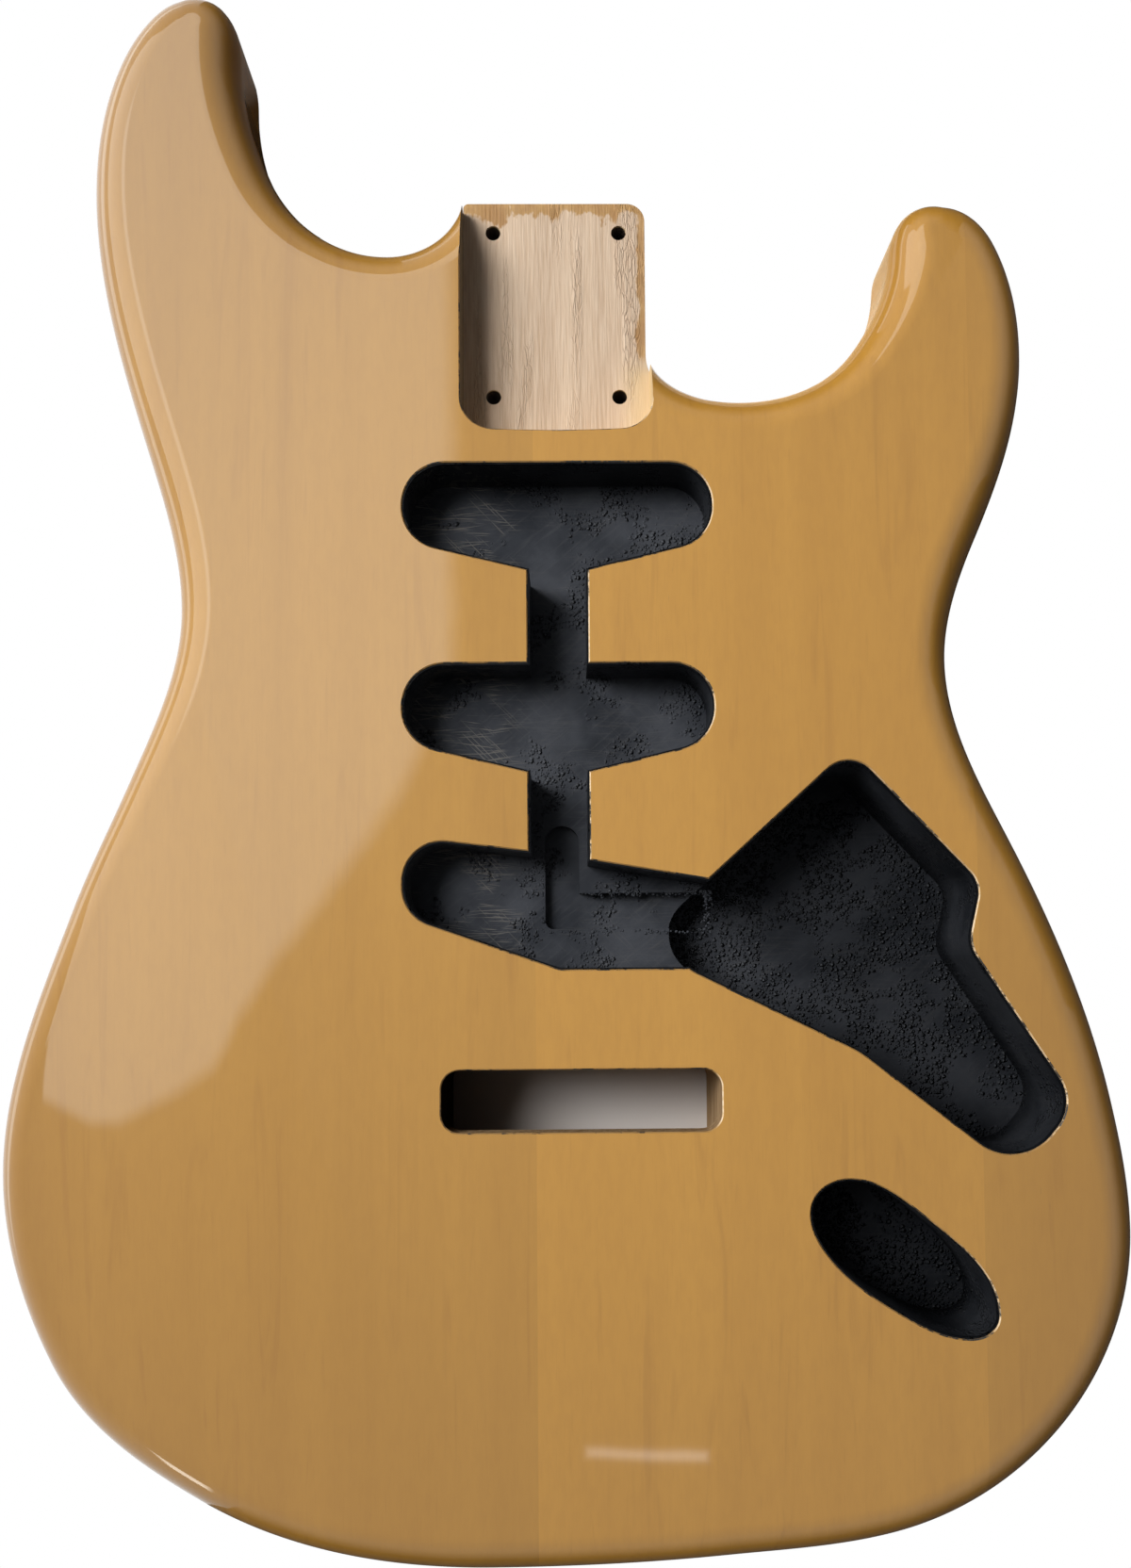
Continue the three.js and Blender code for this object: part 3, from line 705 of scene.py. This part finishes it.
def routed_body():
    points, faces, _ = body_mesh()
    body = mesh_object("body", points, faces)
    cuts = [heel_trim(), rimmed(pocket_outline, 0, RAW), *neck_screw_holes()]
    for outline_at, depth in [*electronics_cuts(), (jack_outline, JACK_DEPTH)]:
        cuts.append(rimmed(outline_at, FRONT - depth, ROUTED))
    for cut in [*cuts, *wire_passages(), *tremolo_cuts()]:
        combine(body, cut, "DIFFERENCE")
    return body


def skin_normals():
    """A lookup of the uncut body's smooth normals."""
    points, faces, edge_normals = body_mesh()
    skin = mesh_object("skin", points, faces)
    tree = kdtree.KDTree(len(skin.data.vertices))
    for vertex in skin.data.vertices:
        tree.insert(vertex.co, vertex.index)
    tree.balance()
    normals = [vertex.normal.copy() for vertex in skin.data.vertices]
    normals[:len(edge_normals)] = edge_normals
    bpy.data.objects.remove(skin)
    return tree, normals


def shade(piece, skin=None):
    """Smooth shading with sharp corners. The lacquered skin takes the normals of the uncut body."""
    mesh = piece.data
    mesh.polygons.foreach_set("use_smooth", [True] * len(mesh.polygons))
    mesh.set_sharp_from_angle(angle=math.radians(SHARP_TURN))
    if skin is None:
        return
    tree, normals = skin
    least = math.cos(math.radians(SKIN_TURN))
    custom = [(0, 0, 0)] * len(mesh.loops)
    for polygon in mesh.polygons:
        if polygon.material_index != LACQUER:
            continue
        flat = abs(polygon.normal.z) > 1 - TINY
        for loop in polygon.loop_indices:
            normal = polygon.normal
            if not flat:
                place = mesh.vertices[mesh.loops[loop].vertex_index].co
                normal = blended_normal(tree.find_n(place, SKIN_NEIGHBOURS), normals)
            if normal.dot(polygon.normal) > least:
                custom[loop] = normal
    mesh.normals_split_custom_set(custom)


def blended_normal(found, normals):
    """The mean of the nearest skin normals, weighted by nearness."""
    total = Vector((0, 0, 0))
    for _, index, distance in found:
        total += normals[index] / (distance + TINY * MM)
    return total.normalized()


def board_block(left, right, bottom=-BODY_LENGTH, top=BODY_LENGTH):
    return straight(rectangle(left, right, top, bottom, 0), -BODY_LENGTH, BODY_LENGTH)


def ragged_rim(piece, top):
    """Moves the paint's upper rim up and down as a brush left it."""
    for vertex in piece.data.vertices:
        if abs(vertex.co.z - top * MM) < TINY * MM:
            place = vertex.co / (PAINT_RAGGED_PITCH * MM)
            broad = noise.noise(place / 4)
            fine = noise.noise(place)
            vertex.co.z += PAINT_RAGGED * MM * (broad + fine)


def add_crumbs(piece):
    """Crumbs of paint along the edges of the wire groove and at the step into the control cavity."""
    choice = random.Random(CRUMB_SEED)
    join = cavity_place(CONTROL_JOIN_SHARE, 0).real
    top, bottom = -GROOVE_LEG_TOP, -GROOVE_LEG_TOP - GROOVE_LEG_HEIGHT
    height = FRONT - PICKUP_DEPTH + PAINT_THICKNESS
    # Each row's start, end, spread and count
    rows = [
        (complex(GROOVE_TREBLE_SIDE, top - 0.8), complex(join, top - 0.8), 0.9, 90),
        (complex(GROOVE_BASS_SIDE, bottom - 0.4), complex(join, bottom - 0.4), 0.6, 80),
        (complex(GROOVE_BASS_SIDE - 0.3, bottom), complex(GROOVE_BASS_SIDE - 0.3, bottom + 20), 0.3, 22),
        (complex(join - 1.5, bottom), complex(join - 1.5, top), 1.6, 50),
    ]
    bm = bmesh.new()
    bm.from_mesh(piece.data)
    for start, end, spread, count in rows:
        for _ in range(count):
            place = start + (end - start) * choice.random()
            place += complex(choice.gauss(0, spread), choice.gauss(0, spread)) / 2
            size = choice.uniform(*CRUMB_RADII) * MM
            stretch = [choice.uniform(*CRUMB_STRETCH) for _ in range(3)]
            turn = Euler([choice.uniform(0, math.pi) for _ in range(3)])
            spot = Vector(triple(place, height - choice.uniform(0, CRUMB_SINK))) * MM
            matrix = Matrix.LocRotScale(spot, turn, Vector(stretch) * size)
            bmesh.ops.create_icosphere(bm, subdivisions=2, radius=1, matrix=matrix)
    bm.to_mesh(piece.data)
    bm.free()


def paint(name, cuts):
    """A coat of paint on the walls and floors of joined cavities."""
    top = FRONT - PAINT_BELOW_FRONT
    outer = [straight(outline_at(PAINT_GAP), FRONT - depth + PAINT_GAP, top) for outline_at, depth in cuts]
    piece = outer[0]
    piece.name = name
    for other in outer[1:]:
        combine(piece, other, "UNION")
    for outline_at, depth in cuts:
        inset = PAINT_GAP + PAINT_THICKNESS
        combine(piece, straight(outline_at(inset), FRONT - depth + inset, FRONT + OVERRUN), "DIFFERENCE")
    for passage in wire_passages():
        combine(piece, passage, "DIFFERENCE")
    ragged_rim(piece, top)
    return piece


class Nodes:
    """A small helper that adds nodes to a tree and joins them."""

    def __init__(self, tree):
        self.tree = tree

    def add(self, kind, sockets=None, **settings):
        """A new node. A socket, given by name or number, takes a value or another node's output."""
        node = self.tree.nodes.new(kind)
        for name, value in settings.items():
            setattr(node, name, value)
        for socket, value in (sockets or {}).items():
            self.put(node.inputs[socket], value)
        return node

    def put(self, socket, value):
        if isinstance(value, bpy.types.NodeSocket):
            self.tree.links.new(value, socket)
        else:
            socket.default_value = value

    def span(self, value, low, high, to_low=0, to_high=1):
        sockets = {"Value": value, "From Min": low, "From Max": high, "To Min": to_low, "To Max": to_high}
        return self.add("ShaderNodeMapRange", sockets, interpolation_type="SMOOTHSTEP").outputs["Result"]

    def calc(self, operation, *values):
        return self.add("ShaderNodeMath", dict(enumerate(values)), operation=operation).outputs["Value"]

    def times(self, first, *others):
        for other in others:
            first = self.calc("MULTIPLY", first, other)
        return first

    def mix(self, share, first, second, blend="MIX"):
        sockets = {"Factor": share, 6: first, 7: second}
        return self.add("ShaderNodeMix", sockets, data_type="RGBA", blend_type=blend).outputs[2]

    def blend(self, share, first, second):
        return self.add("ShaderNodeMixShader", {0: share, 1: first, 2: second}).outputs["Shader"]

    def parts(self, vector):
        return self.add("ShaderNodeSeparateXYZ", {"Vector": vector}).outputs[:]

    def distance(self, vector, point):
        return self.add("ShaderNodeVectorMath", {0: vector, 1: point}, operation="DISTANCE").outputs["Value"]

    def facing(self):
        """The three parts of the surface's normal."""
        return self.parts(self.add("ShaderNodeNewGeometry").outputs["Normal"])

    def seen_or_mirrored(self, share=1):
        """A share of the rays from the camera, and all that a surface mirrors or lets through."""
        rays = self.add("ShaderNodeLightPath").outputs
        seen = self.times(rays["Is Camera Ray"], share)
        for kind in ("Is Glossy Ray", "Is Transmission Ray"):
            seen = self.calc("MAXIMUM", seen, rays[kind])
        return seen

    def bump(self, height, distance, strength=1, below=None):
        sockets = {"Height": height, "Distance": distance, "Strength": strength}
        if below is not None:
            sockets["Normal"] = below
        return self.add("ShaderNodeBump", sockets).outputs["Normal"]


class Shader(Nodes):
    """The nodes of a new material."""

    def __init__(self, name):
        self.material = bpy.data.materials.new(name)
        self.material.use_nodes = True
        super().__init__(self.material.node_tree)
        self.surface = self.tree.nodes["Principled BSDF"]
        self.place = self.add("ShaderNodeTexCoord").outputs["Object"]

    def stretched(self, scale, move=(0, 0), turn=0):
        """The place on the object, turned about its Z axis and then scaled and moved."""
        turned = self.add("ShaderNodeMapping", {"Vector": self.place, "Rotation": (0, 0, math.radians(turn))})
        sockets = {"Vector": turned.outputs["Vector"], "Scale": scale, "Location": (*move, 0)}
        return self.add("ShaderNodeMapping", sockets).outputs["Vector"]

    def noise(self, *stretch, detail=4, roughness=0.55, distortion=0):
        place = self.stretched(*stretch)
        sockets = dict(Vector=place, Scale=1, Detail=detail, Roughness=roughness, Distortion=distortion)
        return self.add("ShaderNodeTexNoise", sockets).outputs["Fac"]

    def cells(self, *stretch, feature="F1"):
        sockets = {"Vector": self.stretched(*stretch), "Scale": 1}
        return self.add("ShaderNodeTexVoronoi", sockets, feature=feature)

    def axes(self):
        return self.parts(self.place)

    def set(self, name, value):
        self.put(self.surface.inputs[name], value)

    def show(self, shader):
        self.put(self.tree.nodes["Material Output"].inputs["Surface"], shader)


def lacquered_wood(name, seed, tone):
    """Pale straight-grained wood under clear amber gloss lacquer, with painted shade towards the outer parts
    of the body.
    """
    s = Shader(name)
    light = (0.56 * tone, 0.278 * tone, 0.035 * tone, 1)
    dark = (0.49 * tone, 0.236 * tone, 0.027 * tone, 1)
    vein = (0.33, 0.142, 0.015, 1)
    broad = s.noise((9, 3, 9), (seed, 0), detail=2)
    bands = s.noise((75, 1.6, 40), (seed, 3), detail=3, distortion=0.3)
    shift = s.calc("MULTIPLY_ADD", bands, 0.5, s.times(broad, 0.5))
    colour = s.mix(s.span(shift, 0.3, 0.7), dark, light)
    streaks = (420, 9, 300), 7, 3, 0.3, 0.3, 0.7, 0.25, dark
    mottle = (520, 150, 520), 1, 3, 0, 0.35, 0.7, 0.12, vein
    lines = (170, 13, 120), 11, 3, 1.1, 0.56, 0.74, 0.3, vein
    fibres = (2600, 90, 1800), 5, 2, 0, 0.55, 0.8, 0.16, vein
    for scale, move, detail, distortion, low, high, share, tint in (streaks, mottle, lines, fibres):
        layer = s.noise(scale, (seed, move), detail=detail, distortion=distortion)
        colour = s.mix(s.span(layer, low, high, 0, share), colour, tint)
    flecks = s.cells((900, 55, 700), (seed, 2))
    marks = s.span(flecks.outputs["Distance"], 0.03, 0.09, 0.5, 0)
    rare = s.span(s.noise((45, 20, 45), (seed, 9)), 0.62, 0.7)
    colour = s.mix(s.times(marks, rare), colour, (0.16, 0.08, 0.025, 1))
    # Painted shade: the lacquer darkens away from a point near the middle of the body, standing in for the
    # fall-off of the lamp's light.
    painted_falloff = s.span(s.distance(s.stretched((1, 0.78, 1)), (0.025, -0.1, 0)), 0.05, 0.28, 0, 0.48)
    colour = s.mix(painted_falloff, colour, (0.36, 0.33, 0.3, 1), "MULTIPLY")
    s.set("Base Color", colour)
    s.set("Roughness", 0.42)
    s.set("Specular IOR Level", 0.25)
    s.set("Coat Weight", 1)
    s.set("Coat Roughness", 0.035)
    s.set("Coat IOR", 1.5)
    s.set("Coat Normal", s.bump(s.noise((60, 40, 60), detail=1), 0.00004, 0.5))
    return s.material


def raw_wood(name):
    """Bare routed wood of the pocket, with torn fibres, lacquer that ran in at its open edges, and painted
    shade on its walls that face +X and in its screw holes.
    """
    s = Shader(name)
    x, y, z = s.axes()
    pale = (0.70, 0.52, 0.365, 1)
    tan = (0.54, 0.38, 0.255, 1)
    fibres = s.noise((1500, 70, 600))
    bands = s.noise((120, 5, 90), (2, 0), detail=3)
    colour = s.mix(s.span(bands, 0.3, 0.7), pale, tan)
    colour = s.mix(s.span(fibres, 0.3, 0.75, 0, 0.55), colour, (0.84, 0.68, 0.52, 1))
    torn = s.noise((900, 120, 400), (6, 1), detail=5, distortion=0.8)
    torn_zone = s.span(s.noise((110, 9, 110), (1, 4), detail=2), 0.53, 0.64)
    cracked = s.cells((1200, 190, 300), (2, 5), feature="DISTANCE_TO_EDGE")
    cracks = s.times(s.span(cracked.outputs["Distance"], 0.02, 0.14, 1, 0), torn_zone)
    colour = s.mix(s.times(cracks, 0.28), colour, (0.34, 0.20, 0.12, 1))
    uneven = s.noise((130, 60, 130), roughness=0.65)
    from_end = s.calc("SUBTRACT", HEEL_TO_NECK * MM, y)
    wet = s.span(s.calc("MULTIPLY_ADD", uneven, -0.022, from_end), -0.008, -0.0065, 0.85, 0)
    from_side = s.calc("SUBTRACT", HEEL_TREBLE_SIDE * MM, x)
    side_wet = s.span(s.calc("MULTIPLY_ADD", uneven, -0.008, from_side), -0.0024, -0.0014, 0.8, 0)
    high = s.span(y, -0.016, -0.012)
    stain = s.calc("MAXIMUM", wet, s.times(side_wet, high))
    on_floor = s.span(z, -0.0012, -0.0004)
    soaked = s.mix(s.span(uneven, 0.35, 0.65), (0.50, 0.285, 0.085, 1), (0.34, 0.16, 0.035, 1))
    colour = s.mix(s.times(stain, on_floor), colour, soaked)
    corner = s.times(s.span(x, 0.017, 0.026), s.span(y, -0.012, -0.02))
    colour = s.mix(s.times(corner, 0.6), colour, (0.66, 0.5, 0.27, 1))
    right, _, up = s.facing()
    upright = s.span(s.calc("ABSOLUTE", up), 0.2, 0.6, 1, 0)
    colour = s.mix(s.times(upright, 0.7), colour, (0.74, 0.55, 0.28, 1))
    # Painted shade: walls that face +X, away from the lamp, are darkened to near black.
    colour = s.mix(s.span(right, 0.5, 0.9, 0, 0.85), colour, (0.03, 0.02, 0.012, 1))
    # Painted shade: the neck screw holes are darkened below the pocket floor.
    painted_hole_shade = s.times(s.span(z, -0.0004, -0.0012), s.span(y, -0.05, -0.04))
    colour = s.mix(painted_hole_shade, colour, (0.035, 0.02, 0.012, 1))
    s.set("Base Color", colour)
    s.set("Roughness", s.span(stain, 0, 1, 0.82, 0.4))
    s.set("Specular IOR Level", 0.3)
    height = s.calc("MULTIPLY_ADD", torn, torn_zone, s.times(fibres, 0.5))
    height = s.calc("MULTIPLY_ADD", cracks, -0.4, height)
    s.set("Normal", s.bump(height, 0.0006, 0.8))
    return s.material


def routed_wood(name):
    """Routed walls behind the paint, with painted shade on those that face +X, away from the lamp."""
    s = Shader(name)
    fibres = s.noise((700, 60, 500))
    colour = s.mix(s.span(fibres, 0.3, 0.7), (0.24, 0.15, 0.075, 1), (0.40, 0.27, 0.15, 1))
    # Painted shade: walls that face +X, away from the lamp, are darkened to near black.
    right = s.facing()[0]
    s.set("Base Color", s.mix(s.span(right, 0.2, 0.7, 0, 0.96), colour, (0.004, 0.003, 0.002, 1)))
    s.set("Roughness", 0.75)
    s.set("Specular IOR Level", 0)
    s.set("Normal", s.bump(fibres, 0.0004, 0.5))
    return s.material


def cut_rim(name):
    """The cut edge of the lacquer: pale where the blade left it, black where paint ran over it, and dark
    amber as painted shade where it faces away from the lamp.
    """
    s = Shader(name)
    patches = s.noise((110, 110, 110), roughness=0.7)
    chips = s.noise((900, 900, 900), detail=3)
    edge = s.calc("MULTIPLY_ADD", chips, 0.25, patches)
    pale = s.mix(s.span(chips, 0.35, 0.65), (0.72, 0.50, 0.26, 1), (0.90, 0.72, 0.50, 1))
    # Painted shade: rims that don't face -X, towards the lamp, take a dark amber in place of the pale cut.
    right = s.facing()[0]
    painted_shade_away_from_lamp = s.span(s.calc("MULTIPLY_ADD", chips, 0.4, right), -0.5, -0.2, 0, 0.95)
    pale = s.mix(painted_shade_away_from_lamp, pale, (0.33, 0.175, 0.045, 1))
    s.set("Base Color", s.mix(s.span(edge, 0.62, 0.72), pale, (0.02, 0.018, 0.015, 1)))
    s.set("Roughness", 0.5)
    s.set("Normal", s.bump(chips, 0.0002, 0.6))
    return s.material


def conductive_paint(name):
    """Black paint brushed over the routed floors, with pebbled clumps, brush marks and fine scratches,
    painted highlights on the pebbles and painted shade on the walls and in the deep cavities.
    """
    s = Shader(name)
    x, y, z = s.axes()
    blotches = s.noise((40, 40, 40))
    brushed = s.noise((900, 70, 90), (0, 0), 50, detail=3, distortion=0.5)
    colour = s.mix(s.span(blotches, 0.3, 0.7), (0.024, 0.0265, 0.032, 1), (0.062, 0.066, 0.076, 1))
    colour = s.mix(s.span(brushed, 0.5, 0.8, 0, 0.4), colour, (0.08, 0.081, 0.085, 1))
    scratches = None
    for turn, seed in ((82, 1), (88, 4), (92, 6), (97, 3), (135, 8)):
        hair = s.noise((2100, 45, 300), (seed, seed), turn, detail=2, distortion=0.15)
        line = s.span(hair, 0.61, 0.66)
        scratches = line if scratches is None else s.calc("MAXIMUM", scratches, line)
    worn = s.span(s.noise((70, 110, 70), (3, 3), detail=2), 0.4, 0.56)
    left = s.span(x, -0.008, -0.022, 0.1, 1)
    scratches = s.times(scratches, worn, left)
    colour = s.mix(s.times(scratches, 0.5), colour, (0.24, 0.22, 0.19, 1))
    clumps = s.noise((60, 60, 60), (9, 2), roughness=0.6)
    right = s.span(x, -0.01, 0.03)
    depth = s.span(z, -0.012, -0.018)
    crowds = s.calc("MULTIPLY_ADD", depth, 0.07, s.calc("MULTIPLY_ADD", right, 0.03, clumps))
    crowded = s.span(crowds, 0.53, 0.6)
    height = None
    for scale, share in ((620, 1), (1150, 0.6)):
        cell = s.cells((scale, scale, scale))
        dome = s.span(cell.outputs["Distance"], 0.1, 0.5, share, 0)
        chosen = s.span(s.times(cell.outputs["Color"], 1), 0.3, 0.4)
        dome = s.times(dome, chosen)
        height = dome if height is None else s.calc("ADD", height, dome)
    height = s.times(height, crowded, s.span(depth, 0, 1, 1, 1.7))
    # Painted highlight: the tops of the pebbles are lighter.
    colour = s.mix(s.times(height, 0.5), colour, (0.14, 0.147, 0.16, 1))
    # Painted shade: the paint is darker on the walls, near its upper rim, and on the floors of the deep
    # cavities, more so towards the treble side and the tail.
    upright = s.span(s.facing()[2], 0.3, 0.8, 0.4, 1)
    painted_dim = s.times(s.span(x, 0.035, 0.1, 0.95, 0.42), s.span(y, -0.23, -0.26, 1, 0.5))
    painted_light = s.times(s.span(z, -0.02, -0.004, painted_dim, 1), upright, s.span(z, 0.0138, 0.0152, 1, 0.15))
    s.set("Base Color", s.mix(painted_light, (0.0008, 0.001, 0.0014, 1), colour))
    s.set("Roughness", s.span(blotches, 0.3, 0.7, 0.36, 0.55))
    s.set("Specular IOR Level", 0.03)
    normal = s.bump(height, 0.0013, 1)
    normal = s.bump(s.noise((260, 260, 260)), 0.0006, 0.4, below=normal)
    s.set("Normal", s.bump(brushed, 0.0003, 0.3, below=normal))
    return s.material


def ride_as(piece, node):
    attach(piece, "root")
    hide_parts(node)


def fill_slots(piece, materials):
    """Puts materials in the slots of a piece, whose faces keep their slots."""
    for index, material in enumerate(materials):
        piece.data.materials[index] = material


def make_boards():
    """The four boards, cut from one body, each with its own grain."""
    skin = skin_normals()
    body = routed_body()
    waist = TREBLE_WAIST_SHARE * BODY_LENGTH
    treble_line = TREBLE_BOUT_SHARE * BODY_WIDTH - TREBLE_BOARD_WIDTH
    shared = [raw_wood("raw_pocket_wood"), routed_wood("routed_wood"), cut_rim("cut_lacquer_rim")]
    # Each board's node and sides, the seed of its grain and its tone
    boards = [
        ("bass_side_board", (-BODY_WIDTH, BASS_GLUE_LINE), 1.3, 0.88),
        ("middle_board", (BASS_GLUE_LINE, treble_line), 4.1, 1),
        ("treble_bout_board", (treble_line, BODY_WIDTH, -BODY_LENGTH, waist), 7.7, 0.88),
        ("treble_horn_board", (treble_line, BODY_WIDTH, waist, BODY_LENGTH), 9.2, 0.97),
    ]
    for node, sides, seed, tone in boards:
        board = placed(node + "_wood", body.data.copy())
        combine(board, board_block(*sides), "INTERSECT")
        fill_slots(board, [lacquered_wood(node + "_lacquer", seed, tone), *shared])
        shade(board, skin)
        ride_as(board, node)
    bpy.data.objects.remove(body)


def make_paint():
    material = conductive_paint("conductive_paint")
    coats = [
        ("cavity_shielding_coat", electronics_cuts()),
        ("jack_cavity_shielding_coat", [(jack_outline, JACK_DEPTH)]),
    ]
    for node, cuts in coats:
        piece = paint(node + "_paint", cuts)
        if node == "cavity_shielding_coat":
            add_crumbs(piece)
        shade(piece)
        fill_slots(piece, [material] * BOARD_SLOTS)
        ride_as(piece, node)


def stage_piece(name, points, faces, material, unseen=()):
    """A piece of the stage, from points in metres, and the kinds of rays that don't see it."""
    mesh = bpy.data.meshes.new(name)
    mesh.from_pydata(points, [], faces)
    mesh.materials.append(material)
    piece = placed(name, mesh)
    for kind in unseen:
        setattr(piece, "visible_" + kind, False)
    return piece


def make_floor():
    """A pale floor that the camera sees as white, with the real shadow under the body and a painted shadow
    towards the slot's bass end showing in the slot.
    """
    s = Shader("pale_floor")
    # Painted shadow: the floor's colour darkens towards the bass end of the slot, deepening the real shadow
    # seen through it.
    shade_side = SLOT_BASS_END * MM
    painted_light = s.span(s.axes()[0], shade_side - 0.016, shade_side + 0.05)
    s.set("Base Color", s.mix(painted_light, (0.09, 0.05, 0.025, 1), (0.62, 0.58, 0.55, 1)))
    s.set("Roughness", 0.9)
    white = s.add("ShaderNodeEmission")
    from_slot = s.distance(s.place, (SLOT_OFFSET * MM, -SLOT_TOP * MM, BACK * MM))
    seen_white = s.seen_or_mirrored(s.span(from_slot, 0.09, 0.1))
    seen_floor = s.blend(seen_white, s.surface.outputs["BSDF"], white.outputs["Emission"])
    behind = s.add("ShaderNodeNewGeometry").outputs["Backfacing"]
    clear = s.add("ShaderNodeBsdfTransparent")
    s.show(s.blend(behind, seen_floor, clear.outputs["BSDF"]))
    half = FLOOR_SIZE / 2
    corners = [(-half, -half), (half, -half), (half, half), (-half, half)]
    stage_piece("floor", [(x, y, BACK * MM) for x, y in corners], [(0, 1, 2, 3)], s.material)


def make_world():
    """White to the camera and in reflections, and a soft fill on the object."""
    world = bpy.data.worlds.new("studio")
    bpy.context.scene.world = world
    world.use_nodes = True
    s = Nodes(world.node_tree)
    background = s.tree.nodes["Background"]
    s.put(background.inputs["Color"], (1, 1, 1, 1))
    s.put(background.inputs["Strength"], s.span(s.seen_or_mirrored(), 0, 1, FILL_STRENGTH, 1))


def make_lamp():
    lamp = bpy.data.lights.new("key", "AREA")
    lamp.shape = "RECTANGLE"
    lamp.size = KEY_WIDTH
    lamp.size_y = KEY_HEIGHT
    lamp.energy = KEY_POWER
    key = placed("key", lamp)
    key.location = KEY_PLACE
    key.rotation_euler = (Vector(KEY_AIM) - key.location).to_track_quat("-Z", "Y").to_euler()
    key.visible_glossy = False


def make_glow(name, corners, height, colour, strength, fade):
    """A level light that only the lacquer mirrors. Its rim fades out over a width."""
    inner = np.array([complex(*corner) for corner in corners])
    outer = inset_points(inner, -fade)
    count = len(corners)
    faces = [list(range(count)), *wall_faces(2, count)]
    s = Shader(name + "_light")
    glow = s.add("ShaderNodeEmission", {"Color": colour, "Strength": strength})
    share = s.add("ShaderNodeAttribute", attribute_name="glow")
    clear = s.add("ShaderNodeBsdfTransparent")
    s.show(s.blend(share.outputs["Fac"], clear.outputs["BSDF"], glow.outputs["Emission"]))
    points = [triple(place, height) for place in [*inner, *outer]]
    piece = stage_piece(name, points, faces, s.material, ("camera", "diffuse", "shadow"))
    glow_share = piece.data.attributes.new("glow", "FLOAT", "POINT")
    glow_share.data.foreach_set("value", [1.0] * count + [0.0] * count)


def make_window():
    """A pale window, the bright table under it and three narrow lights, which the lacquer mirrors."""
    daylight = (0.85, 0.9, 0.9, 1)
    window = [(-0.107, 0.85), (-0.105, 0.079), (-0.128, 0.015), (-0.152, -0.034), (-0.202, -0.103)]
    window += [(-0.252, -0.166), (-0.42, -0.296), (-0.505, -0.33), (-0.655, -0.376), (-0.736, -0.38)]
    window += [(-0.95, -0.35), (-1.1, -0.22), (-1.6, 0), (-2.4, 0.3), (-2.9, 0.5), (-3.1, 0.8)]
    window += [(-3.1, 2.4), (-2.4, 2.4), (-1.2, 1.6), (-0.6, 0.95)]
    table = [(-0.3, 2.4), (-0.3, -0.3), (-3.4, -0.3), (-3.4, 2.4)]
    frame_edge = [(-0.46, 0.6), (-0.46, 0.1), (-0.56, 0.1), (-0.56, 0.6)]
    streak = [(0.02, -0.6035), (0.118, -0.6065), (0.118, -0.609), (0.02, -0.6045)]
    glint = [(-0.9, -1.42), (-1.25, -2.0), (-1.35, -1.94), (-1.0, -1.36)]
    make_glow("window", window, GLOW_HEIGHT, daylight, 3.8, 0.018)
    make_glow("table", table, BACK * MM + CARD_LIFT, daylight, 3, 0.05)
    make_glow("window_edge", frame_edge, GLOW_HEIGHT - 0.01, daylight, 6, 0.06)
    make_glow("streak", streak, GLOW_HEIGHT, (1, 0.97, 0.95, 1), 5, 0.006)
    make_glow("glint", glint, GLOW_HEIGHT, (1, 0.95, 0.85, 1), 10, 0.04)


def make_card(name, start, end, colour, width=CARD_WIDTH, height=CARD_HEIGHT):
    """A card on the floor along a part of the outline, whose wall fades upwards, for the edge to mirror."""
    places = sample_stations(outline_stations(), OUTLINE_STEP)[0]
    inward = unit(inward_steps(places))
    first, last = (int(np.argmin(np.abs(places - place_from_shares(*shares[:2])))) for shares in (start, end))
    floor_height = BACK * MM + CARD_LIFT
    points = []
    faces = []
    for index in range(first, last + 1):
        near = (places[index] + inward[index] * EDGE_RADIUS / 2) * MM
        far = places[index] * MM - inward[index] * width
        points += [triple(near, floor_height), triple(far, floor_height), triple(far, floor_height + height)]
        if index > first:
            count = len(points)
            faces.append([count - 6, count - 5, count - 2, count - 3])
            faces.append([count - 5, count - 4, count - 1, count - 2])
    s = Shader(name + "_cloth")
    s.set("Base Color", colour)
    s.set("Roughness", 1)
    s.set("Specular IOR Level", 0)
    s.set("Alpha", s.span(s.axes()[2], -0.02, 0.2, 1, 0))
    stage_piece(name, points, faces, s.material, ("camera", "shadow", "transmission"))


def make_cards():
    """Dark cards by the treble side, the tail and the bass cutaway, and a tan one by the treble cutaway."""
    dark, tan = (0.11, 0.092, 0.08, 1), (0.8, 0.64, 0.42, 1)
    bass_tip, bass_cutaway = BASS_HORN_SHARES[0], BASS_HORN_SHARES[4]
    treble_cutaway, treble_tip = TREBLE_SIDE_SHARES[0], TREBLE_SIDE_SHARES[4]
    make_card("side_card", treble_tip, BASS_SIDE_SHARES[1], dark)
    make_card("bass_cutaway_card", bass_tip, bass_cutaway, dark)
    make_card("treble_cutaway_card", treble_cutaway, treble_tip, tan, LOW_CARD_WIDTH, LOW_CARD_HEIGHT)


def make_camera():
    data = bpy.data.cameras.new("camera")
    data.lens = CAMERA_LENS
    data.sensor_width = CAMERA_SENSOR
    data.shift_x, data.shift_y = CAMERA_SHIFT
    camera = placed("camera", data)
    camera.location = CAMERA_PLACE
    camera.rotation_mode = "ZYX"
    camera.rotation_euler = CAMERA_TURN
    bpy.context.scene.camera = camera


make_boards()
make_paint()
make_floor()
make_world()
make_lamp()
make_window()
make_cards()
make_camera()
bpy.context.scene.view_settings.view_transform = "Standard"
